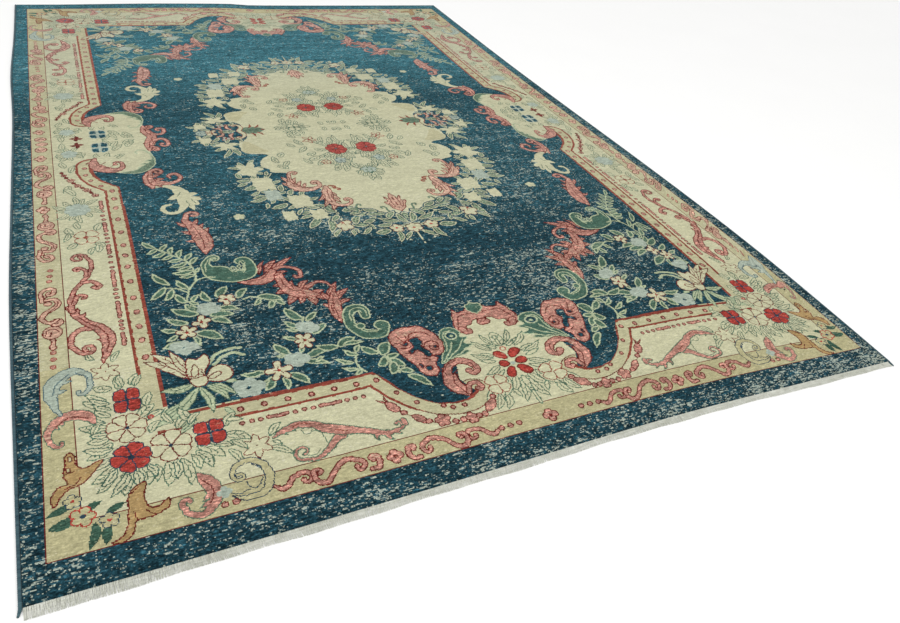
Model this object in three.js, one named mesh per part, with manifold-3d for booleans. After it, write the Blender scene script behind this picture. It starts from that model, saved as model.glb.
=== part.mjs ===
// A hand-knotted floral rug lying on a floor: the knotted body, an overcast cord along
// each side, an overcast far end, and the short cut warp ends of the near end.
// Millimetres, +Z up, +X to the right and +Y to the far end. The origin is on the floor,
// under the middle of everything that is built.
import * as THREE from 'three';
import { mergeVertices } from 'three/addons/utils/BufferGeometryUtils.js';
import Module from 'manifold-3d';

// Driving dimensions
const WIDTH = 2000; // between the sides at the two ends
const LENGTH = 3030; // between the ends at the two sides
const THICKNESS = 5; // foundation and worn, low pile together
const GAP = 0.3; // between the body and what is sewn along it

const ACROSS = 24; // steps in the body's grid, shared by what runs along the ends
const ALONG = 36; // steps shared by what runs along the sides

const SELVEDGE_WIDTH = 7;
const SELVEDGE_HEIGHT = 5.4;
const BINDING_WIDTH = 5;
const BINDING_HEIGHT = 5.2;
const CORD_SIDES = 8;
const TAIL_STEPS = 3;
const TAIL_THINNING = 0.45; // share of a cord's girth that is lost by the tip of its tail

const STRIP_DEPTH = 4; // the woven line that holds the roots of the warp ends
const STRIP_HEIGHT = 2.6;
const STRANDS = 200;
const STRAND_LENGTH = 16.5; // beyond the strip
const STRAND_WIDTH = 6.4;
const STRAND_HEIGHT = 2.2;
const STRAND_ROOT = 2; // how far a root runs into the strip
const STRAND_TIP = 0.62; // share of a strand's width and height that is left at its tip

// How far each edge strays from its straight line. along is the share of the edge's
// length, from the near or left end, and out is in millimetres, away from the rug's middle.
const LEFT_SIDE = [
  { along: 0.0, out: 0 },
  { along: 0.1, out: 6 },
  { along: 0.27, out: 15 },
  { along: 0.45, out: 12 },
  { along: 0.61, out: 9 },
  { along: 0.73, out: 15 },
  { along: 0.86, out: 5 },
  { along: 1.0, out: 0 },
];
const RIGHT_SIDE = [
  { along: 0.0, out: 0 },
  { along: 0.07, out: 16 },
  { along: 0.16, out: 32 },
  { along: 0.26, out: 37 },
  { along: 0.4, out: 30 },
  { along: 0.55, out: 16 },
  { along: 0.72, out: 4 },
  { along: 1.0, out: 2 },
];
const NEAR_END = [
  { along: 0.0, out: 0 },
  { along: 0.25, out: -4 },
  { along: 0.45, out: -11 },
  { along: 0.66, out: -17 },
  { along: 0.85, out: -9 },
  { along: 1.0, out: -1 },
];
const FAR_END = [
  { along: 0.0, out: 0 },
  { along: 0.2, out: 4 },
  { along: 0.42, out: 5 },
  { along: 0.52, out: -5 },
  { along: 0.75, out: -4 },
  { along: 1.0, out: 3 },
];

// A low ripple stands under the left part of the far end.
const RIPPLE = { height: 5, from: 0.06, crest: 0.3, shoulder: 0.45, to: 0.51, reach: 0.07 };

// The warp ends lie combed to the left at the left corner and wander along the end.
// waves is how many times the lean swings along the end, and tip is in millimetres.
const LEANS = [
  { waves: 1.3, phase: 0.4, tip: 2.4 },
  { waves: 4.7, phase: 2.1, tip: 1.5 },
  { waves: 11.3, phase: 1.0, tip: 0.7 },
];
// How far the cut line of the warp ends strays from straight.
const CUTS = [
  { waves: 2.6, phase: 0.8, tip: 1.3 },
  { waves: 9.1, phase: 0.2, tip: 1.0 },
];

// Each side cord runs on past the near end as a short tail.
const LEFT_TAIL = { length: 13, out: 3.6 };
const RIGHT_TAIL = { length: 16, out: 0.6 };

const { lerp, clamp, smoothstep } = THREE.MathUtils;

// A smooth line through a table's rows, read at a share of the edge's length.
function stray(table, share) {
  const s = clamp(share, 0, 1);
  const last = table.length - 2;
  const i = Math.min(last, Math.max(0, table.findIndex((row) => row.along >= s) - 1));
  const [a, b] = [table[i], table[i + 1]];
  const [before, after] = [table[Math.max(0, i - 1)], table[Math.min(table.length - 1, i + 2)]];
  const span = b.along - a.along;
  const t = (s - a.along) / span;
  const slopeA = ((b.out - before.out) / (b.along - before.along)) * span;
  const slopeB = ((after.out - a.out) / (after.along - a.along)) * span;
  const hermite = [
    2 * t ** 3 - 3 * t ** 2 + 1,
    t ** 3 - 2 * t ** 2 + t,
    3 * t ** 2 - 2 * t ** 3,
    t ** 3 - t ** 2,
  ];
  return a.out * hermite[0] + slopeA * hermite[1] + b.out * hermite[2] + slopeB * hermite[3];
}

const wander = (table, share) =>
  table.reduce((sum, row) => sum + row.tip * Math.sin(2 * Math.PI * row.waves * share + row.phase), 0);

const leftEdge = (v) => -WIDTH / 2 - stray(LEFT_SIDE, v);
const rightEdge = (v) => WIDTH / 2 + stray(RIGHT_SIDE, v);
const nearEdge = (u) => -LENGTH / 2 - stray(NEAR_END, u);
const farEdge = (u) => LENGTH / 2 + stray(FAR_END, u);

// How high the underside stands off the floor, at a share u of the width and v of the length.
function lift(u, v) {
  const rise = smoothstep(u, RIPPLE.from, RIPPLE.crest) * (1 - smoothstep(u, RIPPLE.shoulder, RIPPLE.to));
  return RIPPLE.height * rise * smoothstep(v, 1 - RIPPLE.reach, 1);
}

function place(u, v) {
  return [lerp(leftEdge(v), rightEdge(v), u), lerp(nearEdge(u), farEdge(u), v)];
}

// Moves every point of a geometry by a function of where it is.
function bend(geometry, move) {
  const position = geometry.attributes.position;
  const point = new THREE.Vector3();
  for (let i = 0; i < position.count; i += 1) {
    point.fromBufferAttribute(position, i);
    position.setXYZ(i, ...move(point));
  }
  geometry.deleteAttribute('normal');
  geometry.deleteAttribute('uv');
  return mergeVertices(geometry);
}

function bodyGeometry() {
  const slab = new THREE.BoxGeometry(1, 1, THICKNESS, ACROSS, ALONG, 1);
  return bend(slab, ({ x, y, z }) => {
    const [u, v] = [x + 0.5, y + 0.5];
    return [...place(u, v), z + THICKNESS / 2 + lift(u, v)];
  });
}

// A cord of oval section. route gives the middle of its underside at each step.
function cordGeometry(width, height, steps, route) {
  const cord = new THREE.CylinderGeometry(0.5, 0.5, 1, CORD_SIDES, steps);
  const turn = Math.PI / CORD_SIDES; // lays a flat of the section on the floor
  const flat = Math.cos(turn);
  cord.rotateY(turn);
  return bend(cord, ({ x, y, z }) => {
    const { at, along, girth = 1 } = route(Math.round((y + 0.5) * steps));
    const across = (x / flat) * width * girth;
    const up = (z / flat + 0.5) * height * girth;
    return along === 'y'
      ? [at.x + across, at.y, at.z + up]
      : [at.x, at.y - across, at.z + up];
  });
}

function selvedgeGeometry(side) {
  const left = side < 0;
  const tail = left ? LEFT_TAIL : RIGHT_TAIL;
  const edge = left ? leftEdge : rightEdge;
  const u = left ? 0 : 1;
  const reach = GAP + SELVEDGE_WIDTH / 2;
  return cordGeometry(SELVEDGE_WIDTH, SELVEDGE_HEIGHT, ALONG + TAIL_STEPS, (step) => {
    const v = Math.max(0, (step - TAIL_STEPS) / ALONG);
    const past = Math.max(0, (TAIL_STEPS - step) / TAIL_STEPS);
    const beyond = v === 1 ? GAP + BINDING_WIDTH : 0;
    return {
      along: 'y',
      girth: 1 - TAIL_THINNING * past,
      at: new THREE.Vector3(
        edge(v) + side * (reach + tail.out * past),
        lerp(nearEdge(u), farEdge(u), v) - tail.length * past + beyond,
        0,
      ),
    };
  });
}

function bindingGeometry() {
  return cordGeometry(BINDING_WIDTH, BINDING_HEIGHT, ACROSS, (step) => {
    const u = step / ACROSS;
    return {
      along: 'x',
      at: new THREE.Vector3(
        lerp(leftEdge(1), rightEdge(1), u),
        farEdge(u) + GAP + BINDING_WIDTH / 2,
        lift(u, 1),
      ),
    };
  });
}

const wasm = await Module();
wasm.setup();

function toSolid(geometry) {
  return new wasm.Manifold(
    new wasm.Mesh({
      numProp: 3,
      vertProperties: new Float32Array(geometry.attributes.position.array),
      triVerts: new Uint32Array(geometry.index.array),
    }),
  );
}

function toGeometry(solid) {
  const mesh = solid.getMesh();
  const geometry = new THREE.BufferGeometry();
  geometry.setAttribute('position', new THREE.BufferAttribute(mesh.vertProperties, 3));
  geometry.setIndex(new THREE.BufferAttribute(mesh.triVerts, 1));
  return geometry;
}

function stripGeometry() {
  const strip = new THREE.BoxGeometry(1, STRIP_DEPTH, STRIP_HEIGHT, ACROSS, 1, 1);
  return bend(strip, ({ x, y, z }) => {
    const u = x + 0.5;
    return [
      lerp(leftEdge(0), rightEdge(0), u),
      nearEdge(u) - GAP - STRIP_DEPTH / 2 + y,
      z + STRIP_HEIGHT / 2,
    ];
  });
}

function strandGeometry(index) {
  const u = (index + 0.5) / STRANDS;
  const total = STRAND_ROOT + STRAND_LENGTH + wander(CUTS, u);
  const rootY = nearEdge(u) - GAP - STRIP_DEPTH + STRAND_ROOT;
  const rootX = lerp(leftEdge(0), rightEdge(0), u);
  const lean = wander(LEANS, u) * smoothstep(u, 0, 0.01) * (1 - smoothstep(u, 0.99, 1));
  const strand = new THREE.BoxGeometry(1, 1, 1, 1, 2, 1);
  return bend(strand, ({ x, y, z }) => {
    const run = 0.5 - y;
    const taper = 1 - (1 - STRAND_TIP) * run * run;
    return [
      rootX + x * STRAND_WIDTH * taper + lean * run * run,
      rootY - run * total,
      (z + 0.5) * STRAND_HEIGHT * taper,
    ];
  });
}

function fringeGeometry() {
  const strands = Array.from({ length: STRANDS }, (_, index) => toSolid(strandGeometry(index)));
  return toGeometry(wasm.Manifold.union([toSolid(stripGeometry()), ...strands]));
}

const wool = (color) => new THREE.MeshStandardMaterial({ color, roughness: 0.95, metalness: 0 });
const pileWool = wool(0x1f4a5c);
const selvedgeWool = wool(0x1d4552);
const bindingWool = wool(0x27424d);
const warpCotton = wool(0xc9c9b8);

const PIECES = [
  { name: 'rug_body', geometry: bodyGeometry(), material: pileWool },
  { name: 'selvedge_left', geometry: selvedgeGeometry(-1), material: selvedgeWool },
  { name: 'selvedge_right', geometry: selvedgeGeometry(1), material: selvedgeWool },
  { name: 'end_binding', geometry: bindingGeometry(), material: bindingWool },
  { name: 'fringe', geometry: fringeGeometry(), material: warpCotton },
];

const rug = new THREE.Group();
for (const { name, geometry, material } of PIECES) {
  const mesh = new THREE.Mesh(geometry, material);
  mesh.name = name;
  rug.add(mesh);
}

// Puts the origin on the floor, under the middle of the whole.
const footprint = new THREE.Box3().setFromObject(rug);
const middle = footprint.getCenter(new THREE.Vector3());
rug.position.set(-middle.x, -middle.y, -footprint.min.z);
rug.updateMatrixWorld(true);

export default rug;
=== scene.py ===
"""The looks of a hand-knotted floral rug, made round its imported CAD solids.

The rug is drawn as a weaver draws it: on squared paper, with one square for each knot.
One quarter is drawn in centimetres with leaves, blossoms, scrolls, beads and threads.
The loom turns that quarter over for the other three and lays the knots on the bed that
the CAD body gives, each block of one wool as a small face. The sides and the far end are
overcast with yarn, and the near end keeps its short cut warps.
"""

from __future__ import annotations

import logging
import math
from dataclasses import dataclass, field
from enum import Enum, IntEnum
from typing import Iterable, Sequence

import bpy
import numpy as np
from mathutils import Matrix, Vector

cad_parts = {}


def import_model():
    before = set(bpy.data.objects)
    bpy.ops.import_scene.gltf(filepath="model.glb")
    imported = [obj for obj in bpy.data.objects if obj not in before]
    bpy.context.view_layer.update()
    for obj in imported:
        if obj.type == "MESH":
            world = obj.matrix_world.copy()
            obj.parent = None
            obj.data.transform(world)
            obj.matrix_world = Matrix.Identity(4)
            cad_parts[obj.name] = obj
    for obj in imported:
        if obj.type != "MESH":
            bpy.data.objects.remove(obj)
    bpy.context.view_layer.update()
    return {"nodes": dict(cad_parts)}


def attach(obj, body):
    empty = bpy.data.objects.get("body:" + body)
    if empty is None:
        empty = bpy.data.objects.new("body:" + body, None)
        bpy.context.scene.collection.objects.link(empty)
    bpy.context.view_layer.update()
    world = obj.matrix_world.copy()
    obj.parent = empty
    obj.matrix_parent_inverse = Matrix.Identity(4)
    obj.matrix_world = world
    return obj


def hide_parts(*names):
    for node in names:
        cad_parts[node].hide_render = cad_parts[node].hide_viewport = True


LOG = logging.getLogger("rug")

Point = tuple[float, float]
Points = Sequence[Point]

KNOT = 0.21  # centimetres from knot to knot
HALF_ACROSS = 486  # knots from the left side to the axis
HALF_ALONG = 772  # knots from the near end to the middle
AXIS = HALF_ACROSS * KNOT
MARGIN = 14.0  # centimetres drawn beyond the axis and the middle, and then cut off
LONG = 303.0  # centimetres from the near end to the far end
LENGTH = LONG / 100
FULLEST = 0.45  # the share of a leaf's length at which it is fullest
SIDE_KNOTS = 16  # the knots of the side bands, which take up the bow of the sides


# Drawing on squared paper


def smooth(points: Points, closed: bool = False, step: float = 0.14) -> np.ndarray:
    """Runs a smooth line through points.

    Args:
        points: at least two points, in centimetres.
        closed: whether the line returns to its first point.
        step: the longest distance from one point of the line to the next.

    Returns:
        The points of the line, one row each.
    """
    p = np.array(points, float)
    if closed:
        ring = np.vstack([p[-1], p, p[0], p[1]])
    else:
        ring = np.vstack([2 * p[0] - p[1], p, 2 * p[-1] - p[-2]])
    runs = []
    for a, b, c, d in zip(ring, ring[1:], ring[2:], ring[3:]):
        count = max(2, math.ceil(np.hypot(*(c - b)) / step))
        t = (np.arange(count) / count)[:, None]
        runs.append(
            0.5 * (2 * b + (c - a) * t + (2 * a - 5 * b + 4 * c - d) * t**2 + (3 * b - a - 3 * c + d) * t**3)
        )
    runs.append(ring[-2][None])
    return np.vstack(runs)


def shares(line: np.ndarray) -> np.ndarray:
    """The share of a line's length that lies before each of its points."""
    run = np.concatenate([[0.0], np.cumsum(np.hypot(*np.diff(line, axis=0).T))])
    return run / max(run[-1], 1e-9)


def headings(line: np.ndarray) -> np.ndarray:
    """The direction of a line at each of its points, as unit rows."""
    way = np.gradient(line, axis=0)
    return way / np.maximum(np.hypot(*way.T), 1e-9)[:, None]


def left_of(way: np.ndarray) -> np.ndarray:
    """Turns directions a quarter to the left."""
    return np.stack([-way[..., 1], way[..., 0]], axis=-1)


def stroke(line: np.ndarray, widths: Sequence[float]) -> np.ndarray:
    """Covers a line with discs.

    Args:
        line: the points of the line.
        widths: the full width of the stroke, evenly spaced from its start to its end.

    Returns:
        One row for each disc: x, y and radius.
    """
    halves = np.interp(shares(line), np.linspace(0, 1, len(widths)), np.array(widths, float) / 2)
    return np.column_stack([line, halves])


def lens(base: Point, tip: Point, width: float, bend: float = 0.0) -> np.ndarray:
    """Covers a leaf with discs.

    Args:
        base: where the leaf leaves its stem.
        tip: its point.
        width: its width where it is fullest.
        bend: how far its spine bows to the left, as a share of its length.

    Returns:
        One row for each disc: x, y and radius.
    """
    a, b = np.array(base, float), np.array(tip, float)
    middle = (a + b) / 2 + left_of(b - a) * bend
    line = smooth([tuple(a), tuple(middle), tuple(b)])
    t = shares(line)
    bulge = np.sin(math.pi * t ** (math.log(0.5) / math.log(FULLEST)))
    return np.column_stack([line, np.maximum(width / 2 * bulge**0.8, 0.12)])


def spiral(start: np.ndarray, way: np.ndarray, radius: float, width: float, turns: float) -> np.ndarray:
    """Covers the curl at the end of a scroll with discs.

    Args:
        start: where the scroll ends and its curl begins.
        way: the scroll's direction there.
        radius: the curl's radius, positive where it turns left and negative where right.
        width: the width of the scroll at start.
        turns: how many times it goes round.

    Returns:
        One row for each disc: x, y and radius, ending in a round eye.
    """
    hand = math.copysign(1.0, radius)
    out = -left_of(way) * hand
    centre = start - out * abs(radius)
    first = math.atan2(out[1], out[0])
    t = np.linspace(0, 1, max(16, int(abs(radius) * turns * 40)))
    angle = first + hand * 2 * math.pi * turns * t
    reach = abs(radius) * (1 - 0.72 * t**0.9)
    line = centre + reach[:, None] * np.column_stack([np.cos(angle), np.sin(angle)])
    discs = np.column_stack([line, width / 2 * (1 - 0.35 * t)])
    discs[-1, 2] = width * 0.48
    return discs


class Dye(IntEnum):
    """The dyed wools of the rug, in the order of their material slots."""

    NAVY = 0
    CREAM = 1
    KHAKI = 2
    PINK = 3
    ROSE = 4
    RED = 5
    MAROON = 6
    GREEN = 7
    PALE = 8
    SAGE = 9
    LEAF = 10
    MIST = 11
    SLATE = 12
    TAN = 13
    INK = 14
    BRICK = 15
    HAY = 16


class Zone(IntEnum):
    """The parts of the rug that a weaver names, each of which is a piece of the pile."""

    BAND = 0
    GUARD = 1
    BORDER = 2
    BEADING = 3
    FIELD = 4
    MEDALLION = 5


@dataclass
class Chart:
    """One quarter of the rug on squared paper, with its margin.

    Points are given in centimetres on the rug as it lies, from its near left corner. The
    near end bows in towards the axis, so the chart sets each point back by that bow.
    """

    bow: float = 1.25
    sway: float = 0.08  # centimetres that the weaver's hand drifts
    tremor: float = 0.05  # centimetres that it shakes
    dyes: np.ndarray = field(init=False)
    zones: np.ndarray = field(init=False)

    def __post_init__(self) -> None:
        """Rules the paper."""
        extra = round(MARGIN / KNOT)
        shape = (HALF_ALONG + extra, HALF_ACROSS + extra)
        self.dyes = np.full(shape, Dye.NAVY, np.uint8)
        self.zones = np.full(shape, Zone.BAND, np.uint8)

    def settled(self, points: np.ndarray) -> np.ndarray:
        """Sets points back by the bow of the near end, and lets the weaver's hand wander a little.

        Args:
            points: one row for each point or disc, with x and y first.

        Returns:
            The rows with x and y moved.
        """
        moved = np.array(points, float)
        x, y = moved[:, 0].copy(), moved[:, 1].copy()
        moved[:, 0] += self.sway * np.sin(1.9 * y + np.sin(0.8 * x)) + self.tremor * np.sin(5.3 * y + 2.1 * x)
        moved[:, 1] += self.sway * np.sin(1.7 * x + np.sin(0.7 * y)) + self.tremor * np.sin(4.9 * x - 1.7 * y)
        sag = self.bow * np.clip(moved[:, 0] / AXIS, 0, 1) ** 2
        moved[:, 1] = (moved[:, 1] - sag) / (1 - sag / LONG)
        return moved

    def covered(self, discs: np.ndarray) -> tuple[slice, slice, np.ndarray]:
        """Finds the squares that discs cover.

        Args:
            discs: one row for each disc: x, y and radius.

        Returns:
            The rows and columns of the smallest window that holds them, and the mask in it.
        """
        d = self.settled(discs) / KNOT
        rows, cols = self.dyes.shape
        low = np.floor((d[:, :2] - d[:, 2:]).min(0)).astype(int) - 1
        high = np.ceil((d[:, :2] + d[:, 2:]).max(0)).astype(int) + 1
        c0, r0 = np.clip(low, 0, (cols, rows))
        c1, r1 = np.clip(high, 0, (cols, rows))
        mask = np.zeros((max(r1 - r0, 0), max(c1 - c0, 0)), bool)
        for x, y, radius in d:
            a, b = max(int(x - radius) - 1, c0), min(int(x + radius) + 2, c1)
            e, f = max(int(y - radius) - 1, r0), min(int(y + radius) + 2, r1)
            if a >= b or e >= f:
                continue
            across = (np.arange(a, b) + 0.5 - x) ** 2
            along = (np.arange(e, f) + 0.5 - y) ** 2
            mask[e - r0 : f - r0, a - c0 : b - c0] |= across[None, :] + along[:, None] <= radius * radius
        return slice(r0, r1), slice(c0, c1), mask

    def stamp(self, discs: np.ndarray, dye: Dye) -> None:
        """Fills the squares under discs with one dye."""
        rows, cols, mask = self.covered(discs)
        self.dyes[rows, cols][mask] = dye

    def block(self, low: Point, dye: Dye, zone: Zone) -> None:
        """Fills everything above and to the right of a corner, counted on the straight paper.

        Args:
            low: its near left corner.
            dye: the dye to fill it with.
            zone: the zone to give it.
        """
        col, row = (round(value / KNOT) for value in low)
        self.dyes[row:, col:] = dye
        self.zones[row:, col:] = zone

    def inside(self, outline: np.ndarray) -> np.ndarray:
        """Finds the squares inside a closed outline, by the even-odd rule.

        Args:
            outline: the points round it, in centimetres.

        Returns:
            A mask of the whole paper.
        """
        rows, cols = self.dyes.shape
        p = self.settled(outline) / KNOT
        x = np.arange(cols) + 0.5
        within = np.zeros((rows, cols), bool)
        for (x0, y0), (x1, y1) in zip(p, np.roll(p, -1, axis=0)):
            low, high = sorted((y0, y1))
            for row in range(max(0, math.ceil(low - 0.5)), min(rows, math.ceil(high - 0.5))):
                cut = x0 + (row + 0.5 - y0) * (x1 - x0) / (y1 - y0)
                within[row] ^= x > cut
        return within

    def flood(self, outline: np.ndarray, dye: Dye, zone: Zone | None = None) -> None:
        """Fills a closed outline with a dye, and gives it a zone where one is named.

        Args:
            outline: the points round it, in centimetres.
            dye: the dye to fill it with.
            zone: the zone to give it.
        """
        within = self.inside(outline)
        self.dyes[within] = dye
        if zone is not None:
            self.zones[within] = zone

    def whole(self, grid: np.ndarray) -> np.ndarray:
        """Cuts the margin off one of the two grids and turns the quarter over for the rest.

        Args:
            grid: the dyes or the zones.

        Returns:
            The grid of the whole rug.
        """
        quarter = grid[:HALF_ALONG, :HALF_ACROSS]
        half = np.concatenate([quarter, quarter[:, ::-1]], axis=1)
        return np.concatenate([half, half[::-1]], axis=0)


# Motifs


@dataclass(frozen=True)
class Tint:
    """The dyes of a motif: its body, its outline, and the marks inside it."""

    fill: Dye
    edge: Dye
    mark: Dye
    rim: float = 0.26  # centimetres of outline, a little over one knot
    under: Dye | None = None  # a dark line round the outline, which parts it from its neighbours


PARTING = 0.4  # centimetres of ground between two leaves that touch
ROSY = Tint(Dye.PINK, Dye.MAROON, Dye.MAROON)
FADED = Tint(Dye.ROSE, Dye.MAROON, Dye.MAROON)
PARTED = Tint(Dye.SAGE, Dye.CREAM, Dye.PALE, 0.3, under=Dye.NAVY)
SPRAY = Tint(Dye.GREEN, Dye.PALE, Dye.SAGE, 0.44)
IVORY = Tint(Dye.CREAM, Dye.CREAM, Dye.CREAM)
HOLLOW = Tint(Dye.NAVY, Dye.MAROON, Dye.NAVY)
POPPY = Tint(Dye.RED, Dye.INK, Dye.INK, 0.22)
CREAMY = Tint(Dye.CREAM, Dye.MAROON, Dye.RED, 0.22)
STAR = Tint(Dye.CREAM, Dye.MAROON, Dye.CREAM, 0.2)
MISTY = Tint(Dye.MIST, Dye.MIST, Dye.MIST)
GREENERY = Tint(Dye.GREEN, Dye.PALE, Dye.PALE, 0.4)
DARK_LEAF = Tint(Dye.LEAF, Dye.LEAF, Dye.LEAF)
SKETCHED = Tint(Dye.CREAM, Dye.SAGE, Dye.SAGE, 0.25)
ETCHED = Tint(Dye.CREAM, Dye.GREEN, Dye.GREEN, 0.24)
REEDS = Tint(Dye.PALE, Dye.SAGE, Dye.SAGE, 0.2)
SLATY = Tint(Dye.MIST, Dye.SLATE, Dye.SLATE, 0.22)
RIBBON = Tint(Dye.TAN, Dye.MAROON, Dye.MAROON, 0.2)
STRAW = Tint(Dye.KHAKI, Dye.INK, Dye.INK, 0.2)
INKED = Tint(Dye.KHAKI, Dye.INK, Dye.RED, 0.22)
NIGHT = Tint(Dye.NAVY, Dye.MIST, Dye.MIST, 0.3)
BEADED = Tint(Dye.PINK, Dye.MAROON, Dye.PINK, 0.24)


@dataclass
class Motif:
    """Something that is drawn on the chart in a tint."""

    tint: Tint

    def lay(self, chart: Chart, discs: np.ndarray) -> None:
        """Stamps an outlined body.

        Args:
            chart: what it is drawn on.
            discs: one row for each disc: x, y and radius.
        """
        if self.tint.under is not None:
            chart.stamp(discs + np.array((0.0, 0.0, PARTING)), self.tint.under)
        chart.stamp(discs, self.tint.edge)
        if self.tint.edge is not self.tint.fill:
            inner = discs.copy()
            inner[:, 2] = discs[:, 2] - self.tint.rim
            if (inner[:, 2] > 0.06).any():
                chart.stamp(inner[inner[:, 2] > 0.06], self.tint.fill)

    def draw(self, chart: Chart) -> None:
        """Draws the motif."""
        raise NotImplementedError


@dataclass
class Leaf(Motif):
    """A leaf with an outline, a midrib and side veins."""

    base: Point
    tip: Point
    width: float = 2.0
    bend: float = 0.08

    def draw(self, chart: Chart) -> None:
        """Draws the blade, then its veins where there is room for them.

        Args:
            chart: what it is drawn on.
        """
        discs = lens(self.base, self.tip, self.width, self.bend)
        self.lay(chart, discs)
        if self.tint.mark is self.tint.fill or self.width < 1.5:
            return
        run = len(discs)
        rib = discs[run // 8 : -run // 4].copy()
        rib[:, 2] = 0.11
        chart.stamp(rib, self.tint.mark)
        if self.width < 2.1:
            return
        ways = headings(discs[:, :2])
        for share, hand in ((0.3, 1), (0.42, -1), (0.56, 1), (0.68, -1)):
            index = int(run * share)
            side = (ways[index] * 0.8 + left_of(ways[index]) * hand) * discs[index, 2] * 0.62
            chart.stamp(
                stroke(discs[index, :2] + np.outer(np.linspace(0, 1, 9), side), [0.2]), self.tint.mark,
            )


@dataclass
class Thread(Motif):
    """A line of one dye, such as a stem. It takes the tint's edge."""

    points: Points
    width: float = 0.32

    def draw(self, chart: Chart) -> None:
        """Draws the line."""
        chart.stamp(stroke(smooth(self.points), [self.width]), self.tint.edge)


@dataclass
class Veins(Motif):
    """Thin lines inside a form. They take the tint's mark."""

    lines: Sequence[Points]
    width: float = 0.26

    def draw(self, chart: Chart) -> None:
        """Draws the lines."""
        for line in self.lines:
            chart.stamp(stroke(smooth(line), [self.width]), self.tint.mark)


@dataclass
class Halo(Motif):
    """Narrow leaves that stand out all round a flower."""

    at: Point
    reach: float
    count: int
    width: float = 1.7

    def draw(self, chart: Chart) -> None:
        """Draws the leaves, a long one and a shorter one in turn.

        Args:
            chart: what it is drawn on.
        """
        for index in range(self.count):
            turn = 2 * math.pi * (index + 0.2) / self.count
            way = np.array((math.cos(turn), math.sin(turn) * 1.1))
            length = self.reach * (1.0 if index % 2 else 0.8)
            base, tip = np.array(self.at) + way * self.reach * 0.35, np.array(self.at) + way * length
            Leaf(self.tint, tuple(base), tuple(tip), self.width, 0.12 if index % 3 else -0.1).draw(chart)


class Petal(Enum):
    """How the petals of a blossom are cut."""

    ROUND = "round"
    SPLIT = "split"
    NARROW = "narrow"


@dataclass
class Blossom(Motif):
    """A flower seen from above, with its petals round a heart."""

    at: Point
    radius: float
    petals: int = 5
    turn: float = 90.0
    cut: Petal = Petal.ROUND
    stretch: Point = (1.0, 1.0)
    heart: float = 0.2

    def petal(self, angle: float) -> np.ndarray:
        """The discs of the petal that points at an angle, in degrees.

        Args:
            angle: where it points, in degrees.

        Returns:
            One row for each disc: x, y and radius.
        """
        way = np.array([math.cos(math.radians(angle)), math.sin(math.radians(angle))])
        centre = np.array(self.at, float)
        if self.cut is Petal.NARROW:
            discs = lens(tuple(centre + way * 0.1), tuple(centre + way * self.radius), self.radius * 0.55)
        else:
            half_turn = math.sin(math.pi / self.petals)
            wide = half_turn / (1 + half_turn) * (1.14 if self.cut is Petal.SPLIT else 1.2)
            line = centre + way * self.radius * np.linspace(0.2, 1 - wide, 6)[:, None]
            discs = np.column_stack([line, self.radius * wide * np.linspace(0.6, 1.0, 6)])
            if self.cut is Petal.SPLIT:
                side = left_of(way) * self.radius * wide * 0.4
                brow = centre + way * self.radius * (1 - wide * 0.72)
                ears = [[*(brow + side * hand), self.radius * wide * 0.68] for hand in (-1, 1)]
                discs = np.vstack([discs, ears])
        discs[:, :2] = centre + (discs[:, :2] - centre) * np.array(self.stretch)
        return discs

    def draw(self, chart: Chart) -> None:
        """Draws the petals, the lines between them where they are split, and the heart.

        Args:
            chart: what it is drawn on.
        """
        step = 360 / self.petals
        angles = [self.turn + step * index for index in range(self.petals)]
        self.lay(chart, np.vstack([self.petal(angle) for angle in angles]))
        centre = np.array(self.at, float)
        if self.cut is Petal.SPLIT:
            for angle in angles:
                turn = math.radians(angle + step / 2)
                way = np.array([math.cos(turn), math.sin(turn)]) * np.array(self.stretch)
                ends = centre + np.outer((0.1, 0.84 - 0.5 / self.petals), way * self.radius)
                chart.stamp(
                    stroke(ends[0] + np.outer(np.linspace(0, 1, 24), ends[1] - ends[0]), [0.26]),
                    self.tint.edge,
                )
        if self.heart and self.tint.mark is not self.tint.fill:
            chart.stamp(np.array([[*self.at, max(0.22, self.radius * self.heart)]]), self.tint.mark)


@dataclass
class Posy(Motif):
    """An uneven blossom: round petals set one by one, as rows of x, y and radius."""

    petals: Sequence[tuple[float, float, float]]
    heart: Point | None = None

    def draw(self, chart: Chart) -> None:
        """Draws the petals as one form, with a line from the heart to each.

        Args:
            chart: what it is drawn on.
        """
        discs = [np.array(self.petals, float)]
        if self.heart:
            for x, y, radius in self.petals:
                discs.append(stroke(smooth([self.heart, (x, y)]), [1.5 * radius, 2.0 * radius]))
        self.lay(chart, np.vstack(discs))
        if self.heart:
            chart.stamp(np.array([[*self.heart, 0.42]]), self.tint.mark)
            for x, y, _ in self.petals[::2]:
                ends = np.array([self.heart, (x, y)])
                chart.stamp(stroke(smooth([tuple(ends[0]), tuple(ends.mean(0))]), [0.22]), self.tint.edge)


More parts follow.
